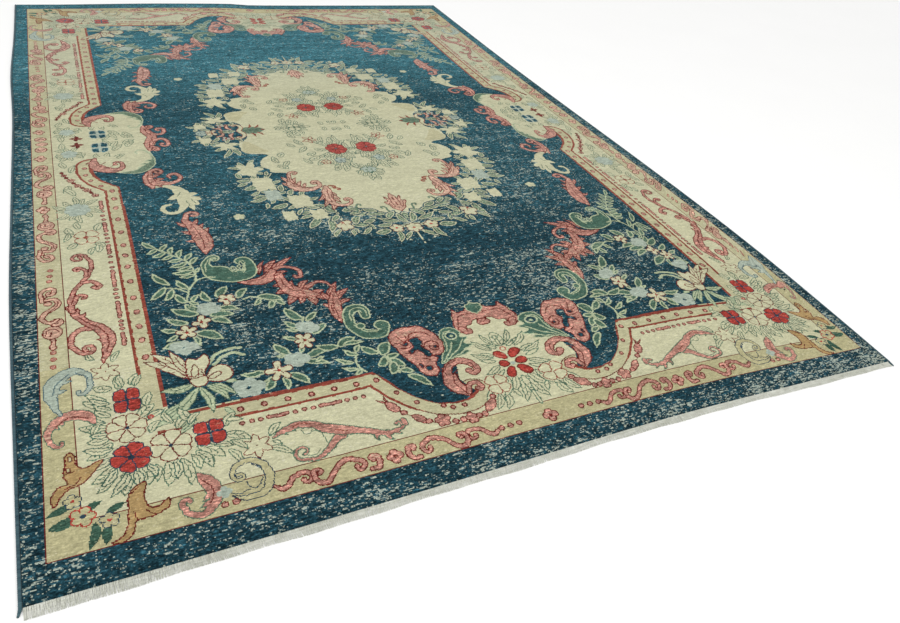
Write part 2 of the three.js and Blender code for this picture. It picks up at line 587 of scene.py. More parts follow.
@dataclass
class Quartered(Motif):
    """Four plump petals in a block, parted by a cross of the tint's mark."""

    at: Point
    size: Point
    gap: float = 0.28

    def draw(self, chart: Chart) -> None:
        """Draws the four petals with their notched tips.

        Args:
            chart: what it is drawn on.
        """
        half = np.array(self.size) / 2
        for across in (-1, 1):
            for along in (-1, 1):
                hand = np.array([across, along])
                reach = half / 2
                centre = np.array(self.at) + hand * reach
                small = reach.min()
                spots = (
                    (0.0, 0.0, 0.96), (0.42, -0.3, 0.62), (-0.3, 0.42, 0.62), (-0.42, -0.42, 0.56),
                    (0.2, 0.2, 0.7),
                )
                discs = np.array([[*(hand * np.array((x, y)) * reach), size * small] for x, y, size in spots])
                slack = reach - small
                ends = np.vstack([discs + (*(slack * way), 0.0) for way in np.linspace(-1, 1, 5)])
                ends[:, :2] += centre
                self.lay(chart, ends)
        for run in ((half[0] * 0.8, 0.0), (0.0, half[1] * 0.8)):
            line = np.array(self.at) + np.outer(np.linspace(-1, 1, 60), run)
            chart.stamp(stroke(line, [self.gap]), self.tint.mark)


@dataclass
class Scroll(Motif):
    """A scroll that may end in curls and may carry curved lobes, as an acanthus does.

    Curls are radii, positive to the left of the scroll's way and negative to the right.
    Lobes are rows of share along the scroll, side (1 left, -1 right), length and lean
    (0 square to the scroll, 1 along it).
    """

    points: Points
    widths: Sequence[float] = (1.3,)
    tail: float = 0.0
    head: float = 0.0
    turns: float = 1.1
    lobes: Sequence[tuple[float, int, float, float]] = ()
    rib: bool = False

    def body(self, line: np.ndarray) -> np.ndarray:
        """The discs of the stroke and of the curls at its two ends.

        Args:
            line: the points of the scroll.

        Returns:
            One row for each disc: x, y and radius.
        """
        way = headings(line)
        parts = [stroke(line, self.widths)]
        if self.tail:
            parts.append(spiral(line[0], -way[0], self.tail, self.widths[0], self.turns))
        if self.head:
            parts.append(spiral(line[-1], way[-1], self.head, self.widths[-1], self.turns))
        return np.vstack(parts)

    def lobe(self, line: np.ndarray, share: float, side: int, length: float, lean: float) -> np.ndarray:
        """The discs of one lobe: a tapered stroke that leaves the scroll and bends along it.

        Args:
            line: the points of the scroll.
            share: where it springs, as a share of the length.
            side: 1 for the left and -1 for the right.
            length: how far it reaches.
            lean: 0 where it stands square to the scroll, 1 where it lies along it.

        Returns:
            One row for each disc: x, y and radius.
        """
        index = int(np.argmin(np.abs(shares(line) - share)))
        way = headings(line)[index]
        out = left_of(way) * side
        base = line[index] - out * 0.1
        elbow = base + out * length * (1 - 0.5 * abs(lean)) * 0.6 + way * lean * length * 0.25
        tip = base + out * length * (1 - 0.45 * abs(lean)) + way * lean * length
        thick = min(2.2, 0.6 + length * 0.42)
        return stroke(
            smooth([tuple(base), tuple(elbow), tuple(tip)]), (thick, thick * 0.85, thick * 0.5, 0.3),
        )

    def draw(self, chart: Chart) -> None:
        """Draws the scroll with its lobes as one outlined form, then its rib.

        Args:
            chart: what it is drawn on.
        """
        line = smooth(self.points)
        lobes = [self.lobe(line, *row) for row in self.lobes]
        self.lay(chart, np.vstack([self.body(line), *lobes]))
        if self.rib:
            run = slice(len(line) // 7, -len(line) // 5)
            roomy = stroke(line, self.widths)[run, 2] > 0.7
            chart.stamp(np.column_stack([line[run], np.full(roomy.size, 0.15)])[roomy], self.tint.mark)


@dataclass
class Beads(Motif):
    """A row of beads with dark rims."""

    points: Points
    radius: float = 0.85
    tall: float = 1.0

    def draw(self, chart: Chart) -> None:
        """Draws each bead and the light in it.

        Args:
            chart: what it is drawn on.
        """
        for x, y in self.points:
            spine = np.linspace(-1, 1, 5) * self.radius * (self.tall - 1)
            discs = np.array([[x, y + shift, self.radius] for shift in spine])
            self.lay(chart, discs)


@dataclass
class Patch(Motif):
    """A closed form with an outline."""

    outline: Points

    def draw(self, chart: Chart) -> None:
        """Fills the form and goes round it.

        Args:
            chart: what it is drawn on.
        """
        line = smooth(self.outline, closed=True)
        chart.flood(line, self.tint.fill)
        chart.stamp(stroke(line, [0.3]), self.tint.edge)


def draw_all(chart: Chart, motifs: Iterable[Motif]) -> None:
    """Draws motifs in their order, each over the ones before it."""
    for motif in motifs:
        motif.draw(chart)


def leaves(tint: Tint, rows: Iterable[tuple[float, float, float, float, float]]) -> list[Leaf]:
    """Makes leaves from rows of base x, base y, tip x, tip y and width."""
    return [Leaf(tint, (bx, by), (tx, ty), width) for bx, by, tx, ty, width in rows]


# The parts of the design


@dataclass
class Grounds:
    """The navy outer band, the khaki guard border and the cream main border."""

    band: Point = (3.36, 6.72)
    guard: Point = (9.1, 13.44)
    paler: float = 54.6  # where the weaver went over to a paler wool, up the side

    def draw(self, chart: Chart) -> None:
        """Fills the three grounds, each behind a thin dark line.

        Args:
            chart: what it is drawn on.
        """
        for (x, y), dye, zone in ((self.band, Dye.KHAKI, Zone.GUARD), (self.guard, Dye.CREAM, Zone.BORDER)):
            chart.block((x, y), Dye.MAROON, zone)
            chart.block((x + KNOT, y + KNOT), dye, zone)
            if zone is Zone.GUARD:
                chart.block((x + KNOT, self.paler), Dye.HAY, zone)


@dataclass
class Frame:
    """The navy field's edge, the beaded khaki band round it and the dashes outside that."""

    side: Points = ((26.2, 49.0), (26.2, 60.0), (26.2, 90.0), (26.2, 120.0), (26.2, 130.5))
    cove: Points = ((24.4, 132.4), (21.6, 135.8), (20.0, 139.4), (19.5, 142.6), (19.7, 145.0))
    near: Points = ((41.0, 34.4), (50.0, 34.4), (62.0, 34.5), (69.6, 34.6))
    arch: Points = (
        (71.8, 31.4), (73.8, 28.0), (76.8, 24.4), (80.0, 21.9), (83.2, 20.9), (86.4, 20.9), (89.4, 22.2),
    )
    line_width: float = 0.8
    band_width: float = 3.8
    rim_width: float = 4.5
    fine_rim: float = 4.06  # beyond the bold part of the rim, under the near cartouche
    side_beads: Sequence[float] = (
        53.3, 59.4, 64.4, 69.9, 75.6, 82.5, 89.0, 94.2, 99.2, 105.5, 112.3, 118.7, 123.7, 128.6,
    )
    cove_beads: Points = ((21.2, 132.0), (18.7, 135.7), (17.5, 139.5), (17.6, 143.8))
    near_beads: Sequence[float] = (39.8, 44.7, 49.7, 54.7, 59.8, 64.8, 69.3)
    arch_beads: Points = ((72.2, 27.0), (75.5, 22.9), (80.5, 20.2), (82.5, 19.1), (85.2, 19.0))
    side_dashes: Sequence[Point] = (
        (59.0, 63.0), (69.0, 75.0), (81.5, 88.0), (96.0, 100.0), (106.8, 111.3), (119.0, 123.0),
    )
    near_dashes: Sequence[Point] = ((44.6, 48.5), (55.5, 59.7))

    def edge(self, path: Points, bold: int, chart: Chart) -> None:
        """Draws the band on one side of the field's edge, its rim bold along the first points.

        Args:
            path: the edge of the field.
            bold: how many of its points have the bold rim.
            chart: what it is drawn on.
        """
        line = smooth(path)
        bold_line = smooth(path[:bold])
        for way, width, dye in (
            (line, self.fine_rim, Dye.MAROON), (bold_line, self.rim_width, Dye.BRICK),
            (line, self.band_width, Dye.HAY),
        ):
            chart.stamp(stroke(way, [2 * width]), dye)
        rows, cols, mask = chart.covered(stroke(line, [2 * self.fine_rim]))
        chart.zones[rows, cols][mask] = Zone.BEADING
        chart.stamp(stroke(line, [2 * self.line_width]), Dye.BRICK)

    def corner(self, chart: Chart) -> None:
        """Squares off the ends of the band at the corner, under the lily and the bouquet.

        Args:
            chart: what it is drawn on.
        """
        bars = (
            (21.5, 36.2, 25.4, 51.0, Dye.HAY), (21.5, 47.2, 22.4, 51.0, Dye.BRICK),
            (25.4, 37.0, 26.2, 51.0, Dye.BRICK), (23.4, 29.9, 43.0, 30.6, Dye.BRICK),
            (27.2, 30.6, 43.0, 33.6, Dye.HAY), (27.8, 33.6, 43.0, 34.4, Dye.BRICK),
        )
        for left, low, right, high, dye in bars:
            chart.flood(
                np.array(((left, low), (right, low), (right, high), (left, high))), dye, Zone.BEADING,
            )

    def draw(self, chart: Chart) -> None:
        """Draws the band, its beads, and the dashes and rings that run beside it.

        Args:
            chart: what it is drawn on.
        """
        for path, bold in (((*self.side, *self.cove), 10), ((*self.near, *self.arch), 7)):
            self.edge(path, bold, chart)
        self.corner(chart)
        beads = BEADED
        dots = Tint(Dye.PINK, Dye.MAROON, Dye.MAROON, 0.34)
        Beads(beads, [(23.9, y) for y in self.side_beads], 0.72, 1.35).draw(chart)
        Beads(beads, self.cove_beads, 0.72).draw(chart)
        Beads(dots, [(x, 32.0) for x in self.near_beads], 0.74, 1.1).draw(chart)
        Beads(dots, self.arch_beads, 0.7).draw(chart)
        for low, high in self.side_dashes:
            Scroll(beads, ((20.3, low), (20.3, high)), (1.1,)).draw(chart)
        for low, high in self.near_dashes:
            Scroll(ROSY, ((low, 28.0), (high, 28.0)), (1.15,)).draw(chart)
        for (_, low), (high, _) in zip(self.side_dashes, self.side_dashes[1:]):
            spots = np.linspace(low + 1.6, high - 1.6, 3)
            Beads(beads, [(20.3, float(y)) for y in spots], 0.62).draw(chart)
        for spots in ((39.3, 41.3, 43.0), (50.1, 52.0, 53.9), (61.2, 63.2, 65.0)):
            Beads(beads, [(x, 28.0) for x in spots], 0.62).draw(chart)


@dataclass
class Field:
    """The navy field inside the frame."""

    outline: Points = (
        (118.0, 48.5), (104.0, 49.5), (95.0, 48.5), (94.4, 44.0), (92.0, 38.0), (89.2, 33.0), (87.4, 27.0),
        (89.6, 22.3), (86.2, 20.6), (83.0, 20.5), (79.6, 21.4), (76.2, 24.0), (73.4, 27.8), (71.6, 31.4),
        (69.4, 34.8), (50.0, 34.8), (26.2, 34.8), (26.2, 90.0), (26.2, 130.4), (24.2, 132.4), (21.6, 135.6),
        (20.2, 139.0), (19.8, 142.0), (19.9, 145.5), (22.5, 141.2), (28.0, 138.6), (33.0, 139.4),
        (36.4, 143.0), (37.6, 149.5), (37.0, 156.0), (37.6, 166.0), (37.6, 178.0), (118.0, 178.0),
    )

    def draw(self, chart: Chart) -> None:
        """Fills the field."""
        chart.flood(np.array(self.outline), Dye.NAVY, Zone.FIELD)


@dataclass
class NearGuard:
    """The scrolls, dots and diamonds on the near guard border."""

    middle: float = 65.3  # the line that the two groups of scrolls mirror each other across

    def draw(self, chart: Chart) -> None:
        """Draws two mirrored groups of scrolls with what stands between them.

        Args:
            chart: what it is drawn on.
        """
        for hand in (1.0, -1.0):
            self.group(chart, hand)
        Beads(ROSY, ((89.8, 10.3), (92.0, 10.5), (94.1, 10.7)), 0.76).draw(chart)
        for spot in ((65.5, 10.2), (102.06, 10.7)):
            Blossom(ROSY, spot, 2.0, 4, stretch=(1.0, 0.95), heart=0.25).draw(chart)

    def group(self, chart: Chart, hand: float) -> None:
        """Draws one group, turned over where hand is -1.

        Args:
            chart: what it is drawn on.
            hand: 1 as drawn, or -1 turned over.
        """

        def at(*rows: Point) -> list[Point]:
            """Mirrors points across the middle where the group is turned over."""
            return [(self.middle + hand * (x - self.middle), y) for x, y in rows]

        draw_all(
            chart,
            (
                Scroll(
                    ROSY, at((41.3, 10.5), (42.6, 9.5), (44.0, 9.8), (45.2, 11.3), (46.8, 12.0)),
                    (0.8, 1.5, 1.3, 1.4), head=-1.75 * hand, turns=0.8,
                    lobes=((0.16, int(hand), 0.9, -0.2),),
                ),
                Scroll(
                    ROSY,
                    at(
                        (49.1, 11.0), (49.3, 9.2), (50.8, 8.3), (52.3, 9.2), (53.5, 10.9), (55.0, 12.0),
                        (57.0, 12.3), (58.7, 11.3),
                    ),
                    (1.3, 1.5, 1.3, 1.5, 1.4), tail=-1.05 * hand, head=-1.45 * hand, turns=0.72,
                ),
                Scroll(
                    ROSY, at((60.1, 8.5), (61.5, 8.6), (62.2, 9.8), (62.1, 11.2)), (1.3, 1.4),
                    head=1.0 * hand, turns=0.7,
                ),
            ),
        )


@dataclass
class SideGuard:
    """The scrolls, dots and diamonds on the side guard border."""

    def draw(self, chart: Chart) -> None:
        """Draws the groups of scrolls up the side with what stands between them.

        Args:
            chart: what it is drawn on.
        """
        dots = Tint(Dye.PINK, Dye.BRICK, Dye.PINK, 0.22)
        Beads(dots, ((6.2, 55.5), (6.2, 57.9), (6.3, 60.2)), 0.7).draw(chart)
        Beads(dots, ((6.2, 87.0), (6.5, 89.3), (6.7, 91.6)), 0.7).draw(chart)
        for y in (121.4, 152.2):
            Blossom(FADED, (5.9, y), 2.0, 4, stretch=(0.85, 1.1)).draw(chart)
            Beads(Tint(Dye.BRICK, Dye.BRICK, Dye.BRICK), ((5.9, y),), 0.35).draw(chart)
        self.group(chart, 62.0, 1.0)
        self.group(chart, 118.0, -1.0)
        self.group(chart, 125.2, 1.0)
        Beads(FADED, ((6.2, 158.2),), 1.8).draw(chart)
        Beads(FADED, ((6.4, 163.2), (6.4, 167.0)), 1.9, 0.7).draw(chart)
        Veins(FADED, (((5.0, 163.2), (7.8, 163.2)), ((5.2, 158.8), (6.2, 157.6), (7.2, 158.6)))).draw(chart)

    def group(self, chart: Chart, y: float, hand: float) -> None:
        """Draws one group from its foot, turned over where hand is -1.

        Args:
            chart: what it is drawn on.
            y: where its foot stands.
            hand: 1 as drawn, or -1 turned over.
        """

        def at(*rows: Point) -> list[Point]:
            """Places points above the foot of the group."""
            return [(6.3 + across, y + hand * up) for across, up in rows]

        draw_all(
            chart,
            (
                Scroll(FADED, at((0.0, -0.3), (0.1, 1.6), (0.0, 4.0)), (1.6, 1.0, 1.8)),
                Beads(FADED, at((0.0, 5.2)), 2.05, 0.86),
                Veins(
                    FADED,
                    (at((-1.4, 4.2), (-1.0, 6.0), (0.6, 6.2), (1.3, 5.0)), at((-0.3, 4.0), (-0.2, 5.4))),
                ),
                Beads(FADED, at((1.0, 8.6)), 1.55),
                Scroll(
                    FADED,
                    at(
                        (1.4, 9.6), (-0.4, 8.6), (-1.9, 10.4), (-1.3, 12.4), (0.6, 14.0), (1.6, 15.8),
                        (0.8, 17.6), (-0.9, 17.4),
                    ),
                    (1.0, 1.2, 1.4, 1.5, 1.6, 1.4, 1.2), head=-1.1 * hand, turns=0.5,
                ),
                Beads(FADED, at((-0.5, 16.0)), 0.95),
                Veins(
                    FADED,
                    (at((0.6, 8.4), (1.4, 8.2)), at((-1.3, 10.6), (-0.8, 12.2), (1.0, 14.4), (1.6, 16.4))),
                ),
                Scroll(
                    FADED, at((-1.7, 17.0), (-1.9, 20.2), (-0.8, 22.0), (0.7, 21.6), (0.9, 20.2)),
                    (1.1, 1.3), head=-1.0 * hand, turns=0.7,
                ),
            ),
        )


@dataclass
class SideBorder:
    """The pink scrolls and loose flowers up the side of the main border."""

    def scrolls(self) -> list[Motif]:
        """The acanthus at the foot of the border with its stem and side curls.

        Returns:
            The motifs, in the order in which they are drawn.
        """
        return [
            Scroll(
                ROSY, ((15.2, 66.3), (12.2, 66.6), (10.1, 64.4), (9.9, 61.4), (11.4, 58.6)),
                (1.9, 1.5, 1.4), head=1.75,
            ),
            Scroll(
                ROSY,
                ((15.6, 54.2), (16.6, 57.4), (17.3, 61.4), (16.4, 65.2), (13.6, 68.6), (11.6, 71.4),
                 (9.8, 75.6)),
                (0.8, 2.2, 3.4, 3.0, 2.2, 2.0, 1.2),
                lobes=(
                    (0.33, 1, 2.6, 0.2), (0.43, 1, 2.4, 0.5), (0.78, -1, 2.8, 0.3), (0.86, -1, 2.4, 0.7),
                ),
                rib=True,
            ),
            Scroll(
                ROSY,
                ((10.7, 73.6), (10.5, 78.4), (11.8, 82.4), (13.6, 85.4), (15.2, 88.8), (15.8, 92.6),
                 (14.8, 96.0)),
                (1.6, 1.3, 1.3, 1.2), head=1.9,
            ),
            Scroll(ROSY, ((11.0, 76.6), (11.9, 79.0)), (1.3, 1.3), head=-1.3, turns=0.7),
            Scroll(ROSY, ((13.4, 84.8), (15.4, 84.6), (16.9, 82.9)), (1.3, 1.5), head=-1.1, turns=0.6),
            Scroll(ROSY, ((14.2, 87.4), (14.5, 89.4), (13.4, 91.0)), (1.2, 1.1), head=1.1, turns=0.9),
        ]

    def garland(self) -> list[Motif]:
        """The chain of small pink flowers that runs from the frame to the guard.

        Returns:
            The motifs, in the order in which they are drawn.
        """
        spine = smooth(
            ((19.2, 126.8), (17.2, 130.6), (15.0, 133.4), (13.4, 136.8), (12.0, 139.4), (11.2, 142.0))
        )
        spots = spine[:: max(1, len(spine) // 9)]
        sizes = (1.1, 0.7, 1.2, 0.7, 1.1, 0.7, 1.2, 0.7, 0.9, 0.7)
        flowers = [Blossom(FADED, (float(x), float(y)), size, 5) for (x, y), size in zip(spots, sizes)]
        return [Thread(ROSY, [tuple(spot) for spot in spine[::12]], 0.5), *flowers]

    def flowers(self) -> list[Motif]:
        """The loose flowers with their pale leaves.

        Returns:
            The motifs, in the order in which they are drawn.
        """
        sketch = leaves(
            SKETCHED,
            ((13.9, 55.4, 12.2, 58.0, 1.5), (17.4, 53.9, 19.0, 57.0, 1.5), (18.2, 97.4, 18.6, 101.5, 2.0),
             (16.0, 96.5, 17.0, 100.0, 1.6), (18.0, 44.5, 18.2, 49.8, 1.8), (20.2, 45.5, 21.8, 48.8, 1.8),
             (12.4, 107.0, 11.0, 110.6, 2.0), (18.0, 108.0, 19.6, 111.4, 2.0),
             (14.0, 109.5, 13.6, 113.4, 1.8), (13.0, 102.6, 10.8, 100.4, 2.0),
             (17.6, 101.8, 19.4, 99.6, 1.8), (11.4, 108.0, 10.2, 104.0, 1.6),
             (24.0, 162.0, 26.0, 158.0, 1.8), (26.6, 148.6, 29.6, 151.4, 2.2),
             (30.0, 158.6, 33.6, 161.4, 2.4), (26.8, 156.6, 28.4, 160.8, 2.0),
             (12.4, 144.8, 11.4, 148.8, 2.0), (12.8, 133.6, 11.2, 129.6, 2.2),
             (11.6, 131.8, 14.2, 127.4, 2.0), (13.6, 141.6, 15.0, 146.2, 1.8),
             (11.8, 151.0, 10.6, 154.2, 2.0), (16.6, 151.0, 18.4, 153.4, 1.6),
             (12.4, 157.0, 12.2, 161.6, 2.0), (14.6, 163.6, 12.6, 167.4, 2.0),
             (26.6, 154.2, 29.6, 158.2, 2.2), (30.8, 156.4, 33.2, 160.2, 2.2),
             (28.0, 162.0, 31.0, 166.0, 2.2), (32.2, 163.2, 35.0, 166.4, 2.0),
             (22.0, 149.0, 21.4, 153.0, 1.8), (24.6, 149.2, 25.0, 153.0, 1.8)),
        )
        dark = Tint(Dye.MAROON, Dye.MAROON, Dye.MAROON)
        tips = ((2.0, 0.2), (-2.1, 0.0), (0.2, 2.1), (-0.1, -2.3))
        cross = [Leaf(dark, (16.4, 159.6), (16.4 + x, 159.6 + y), 1.2) for x, y in tips]
        return [
            *sketch,
            Blossom(STAR, (15.8, 51.0), 3.0, 6, 30.0, Petal.NARROW),
            Halo(SKETCHED, (14.2, 119.8), 6.8, 12),
            Halo(SKETCHED, (13.8, 153.8), 4.8, 8),
            Blossom(
                Tint(Dye.CREAM, Dye.BRICK, Dye.BRICK, 0.22), (15.5, 105.0), 3.3, 4, 45.0, Petal.SPLIT,
                (1.0, 1.1),
            ),
            Blossom(MISTY, (14.2, 119.6), 3.4, 7),
            Blossom(MISTY, (13.9, 153.8), 2.6, 5, stretch=(0.9, 1.0)),
            *cross,
            Quartered(NIGHT, (22.9, 157.0), (5.0, 6.6), 0.9),
        ]

    def draw(self, chart: Chart) -> None:
        """Draws the flowers, the scrolls and the garland."""
        draw_all(chart, (*self.flowers(), *self.scrolls(), *self.garland()))


@dataclass
class SideCartouche:
    """The scrolls that carry the cream border into the field at the middle of each side."""

    def draw(self, chart: Chart) -> None:
        """Draws the pale C-scroll, the pink volute under it and the pink leaf above.

        Args:
            chart: what it is drawn on.
        """
        crescent = Tint(Dye.SAGE, Dye.PALE, Dye.PALE, 0.4)
        inside = ((20.7, 150.0), (26.4, 150.0), (27.4, 144.0), (24.6, 141.6), (20.4, 144.2))
        chart.flood(smooth(inside, closed=True), Dye.CREAM, Zone.BORDER)
        draw_all(
            chart,
            (
                Scroll(
                    crescent,
                    ((28.0, 139.2), (31.4, 139.0), (34.6, 140.8), (37.0, 144.6), (37.4, 149.0),
                     (36.0, 152.4)),
                    (0.9, 2.2, 3.4, 2.8, 1.4, 0.8, 0.7), head=2.3, turns=0.55,
                    lobes=((0.36, 1, 2.6, -0.3), (0.5, 1, 3.4, -0.3), (0.64, 1, 2.8, -0.3)),
                ),
                Scroll(
                    ROSY,
                    ((20.8, 149.6), (20.3, 146.0), (21.6, 143.2), (24.6, 141.2), (27.6, 141.6),
                     (28.4, 144.6)),
                    (1.2, 2.8, 4.2, 3.4, 2.0, 1.4), head=1.7, turns=0.7,
                    lobes=((0.16, -1, 2.6, 0.3), (0.3, -1, 2.6, 0.2)),
                ),
                Veins(
                    ROSY,
                    (((20.8, 146.6), (21.8, 144.4), (24.4, 142.4)), ((22.6, 145.4), (23.6, 146.8)),
                     ((24.8, 143.6), (26.2, 144.6))),
                ),
                Scroll(
                    ROSY, ((37.4, 152.6), (37.6, 156.0), (38.6, 159.6), (40.0, 164.0)),
                    (1.4, 3.2, 3.8, 1.6), lobes=((0.3, 1, 2.6, 0.6), (0.5, 1, 2.6, 0.8)),
                ),
                Scroll(ROSY, ((38.4, 155.4), (39.8, 154.2)), (1.4, 1.3), head=-1.2),
                Scroll(
                    ROSY, ((39.6, 159.6), (41.6, 160.4), (43.4, 158.8), (43.6, 156.4)), (1.8, 1.6, 1.5),
                    head=-1.7, turns=0.7,
                ),
                Veins(
                    ROSY, (((37.6, 154.4), (38.0, 158.0), (39.6, 162.0)), ((39.0, 157.2), (39.6, 159.2))),
                ),
            ),
        )


@dataclass
class SideOrnaments:
    """The pink leaves and pale scroll that hang in the field beside the side cartouche."""

    def leaf(self) -> list[Motif]:
        """The upright pink leaf with split edges and a curl at its top.

        Returns:
            The motifs, in the order in which they are drawn.
        """
        fingers = (
            (43.0, 97.4, 39.0, 97.4, 1.5), (42.8, 100.4, 38.8, 102.6, 1.7), (42.0, 104.2, 38.0, 107.4, 1.6),
            (43.8, 98.4, 46.0, 103.0, 1.9), (43.0, 101.6, 45.0, 105.4, 1.6),
            (42.2, 103.6, 43.9, 108.2, 1.6),
        )
        return [
            *leaves(ROSY, fingers),
            Scroll(
                ROSY,
                ((43.0, 90.0), (43.7, 95.0), (43.2, 99.6), (42.0, 104.2), (40.6, 107.6), (41.4, 111.0)),
                (0.4, 4.2, 5.0, 3.8, 2.2, 1.5), head=-1.8, turns=0.85,
            ),
            Veins(
                ROSY,
                (((43.2, 93.0), (43.4, 97.0), (42.8, 101.6), (41.8, 105.4)), ((41.4, 98.4), (42.4, 100.4)),
                 ((44.8, 96.0), (44.6, 99.0)), ((41.0, 103.2), (41.8, 104.2))),
            ),
        ]

    def plume(self) -> list[Motif]:
        """The pale plume, whose stem curls under it.

        Returns:
            The motifs, in the order in which they are drawn.
        """
        barbs = (
            (41.8, 123.6, 37.9, 120.2, 2.1), (43.0, 121.4, 46.6, 122.4, 1.9),
            (43.4, 119.8, 47.0, 118.8, 2.4), (43.2, 118.8, 45.6, 115.6, 2.3),
            (42.8, 117.8, 43.9, 113.2, 1.7),
        )
        return [
            *leaves(IVORY, barbs),
            Scroll(
                IVORY,
                ((35.2, 128.6), (39.0, 128.2), (41.4, 125.6), (42.4, 121.8), (42.0, 117.4), (40.6, 113.9),
                 (38.2, 112.4), (36.1, 113.9), (36.1, 116.6), (38.0, 117.3)),
                (0.8, 1.4, 2.8, 4.2, 4.2, 2.6, 1.5, 1.3, 1.3, 1.1),
            ),
            Veins(
                Tint(Dye.CREAM, Dye.SAGE, Dye.SAGE),
                (((43.2, 115.6), (42.8, 118.8)), ((45.0, 116.8), (44.2, 119.4)),
                 ((40.6, 121.6), (42.0, 124.0))),
            ),
        ]

    def hooks(self) -> list[Motif]:
        """The pair of pink hooks that spring from the plume.

        Returns:
            The motifs, in the order in which they are drawn.
        """
        return [
            *leaves(
                ROSY,
                ((35.4, 132.4, 38.9, 133.0, 1.8), (35.2, 134.2, 38.0, 135.8, 1.6),
                 (35.6, 131.2, 37.4, 127.8, 1.8)),
            ),
            Scroll(
                ROSY, ((35.0, 128.0), (34.4, 131.6), (34.5, 135.6), (35.6, 138.4)), (1.2, 3.4, 3.0, 1.6),
                head=-2.0, turns=0.9,
            ),
            Scroll(
                ROSY,
                ((36.2, 130.8), (40.0, 130.0), (42.6, 131.1), (43.5, 133.6), (42.4, 135.6), (40.4, 134.8),
                 (40.5, 133.2)),
                (3.2, 2.2, 1.6, 1.5, 1.5, 1.6, 0.8),
            ),
            Veins(
                ROSY,
                (((34.6, 130.0), (34.2, 134.0), (35.0, 138.0)), ((36.2, 131.6), (36.8, 134.2)),
                 ((37.8, 130.4), (40.4, 130.2))),
            ),
        ]

    def draw(self, chart: Chart) -> None:
        """Draws the leaf, the plume, the hooks and the lone blossom beside them."""
        alone = Blossom(Tint(Dye.CREAM, Dye.PALE, Dye.CREAM), (55.0, 106.8), 1.7, 5)
        draw_all(chart, (*self.leaf(), *self.plume(), *self.hooks(), alone))


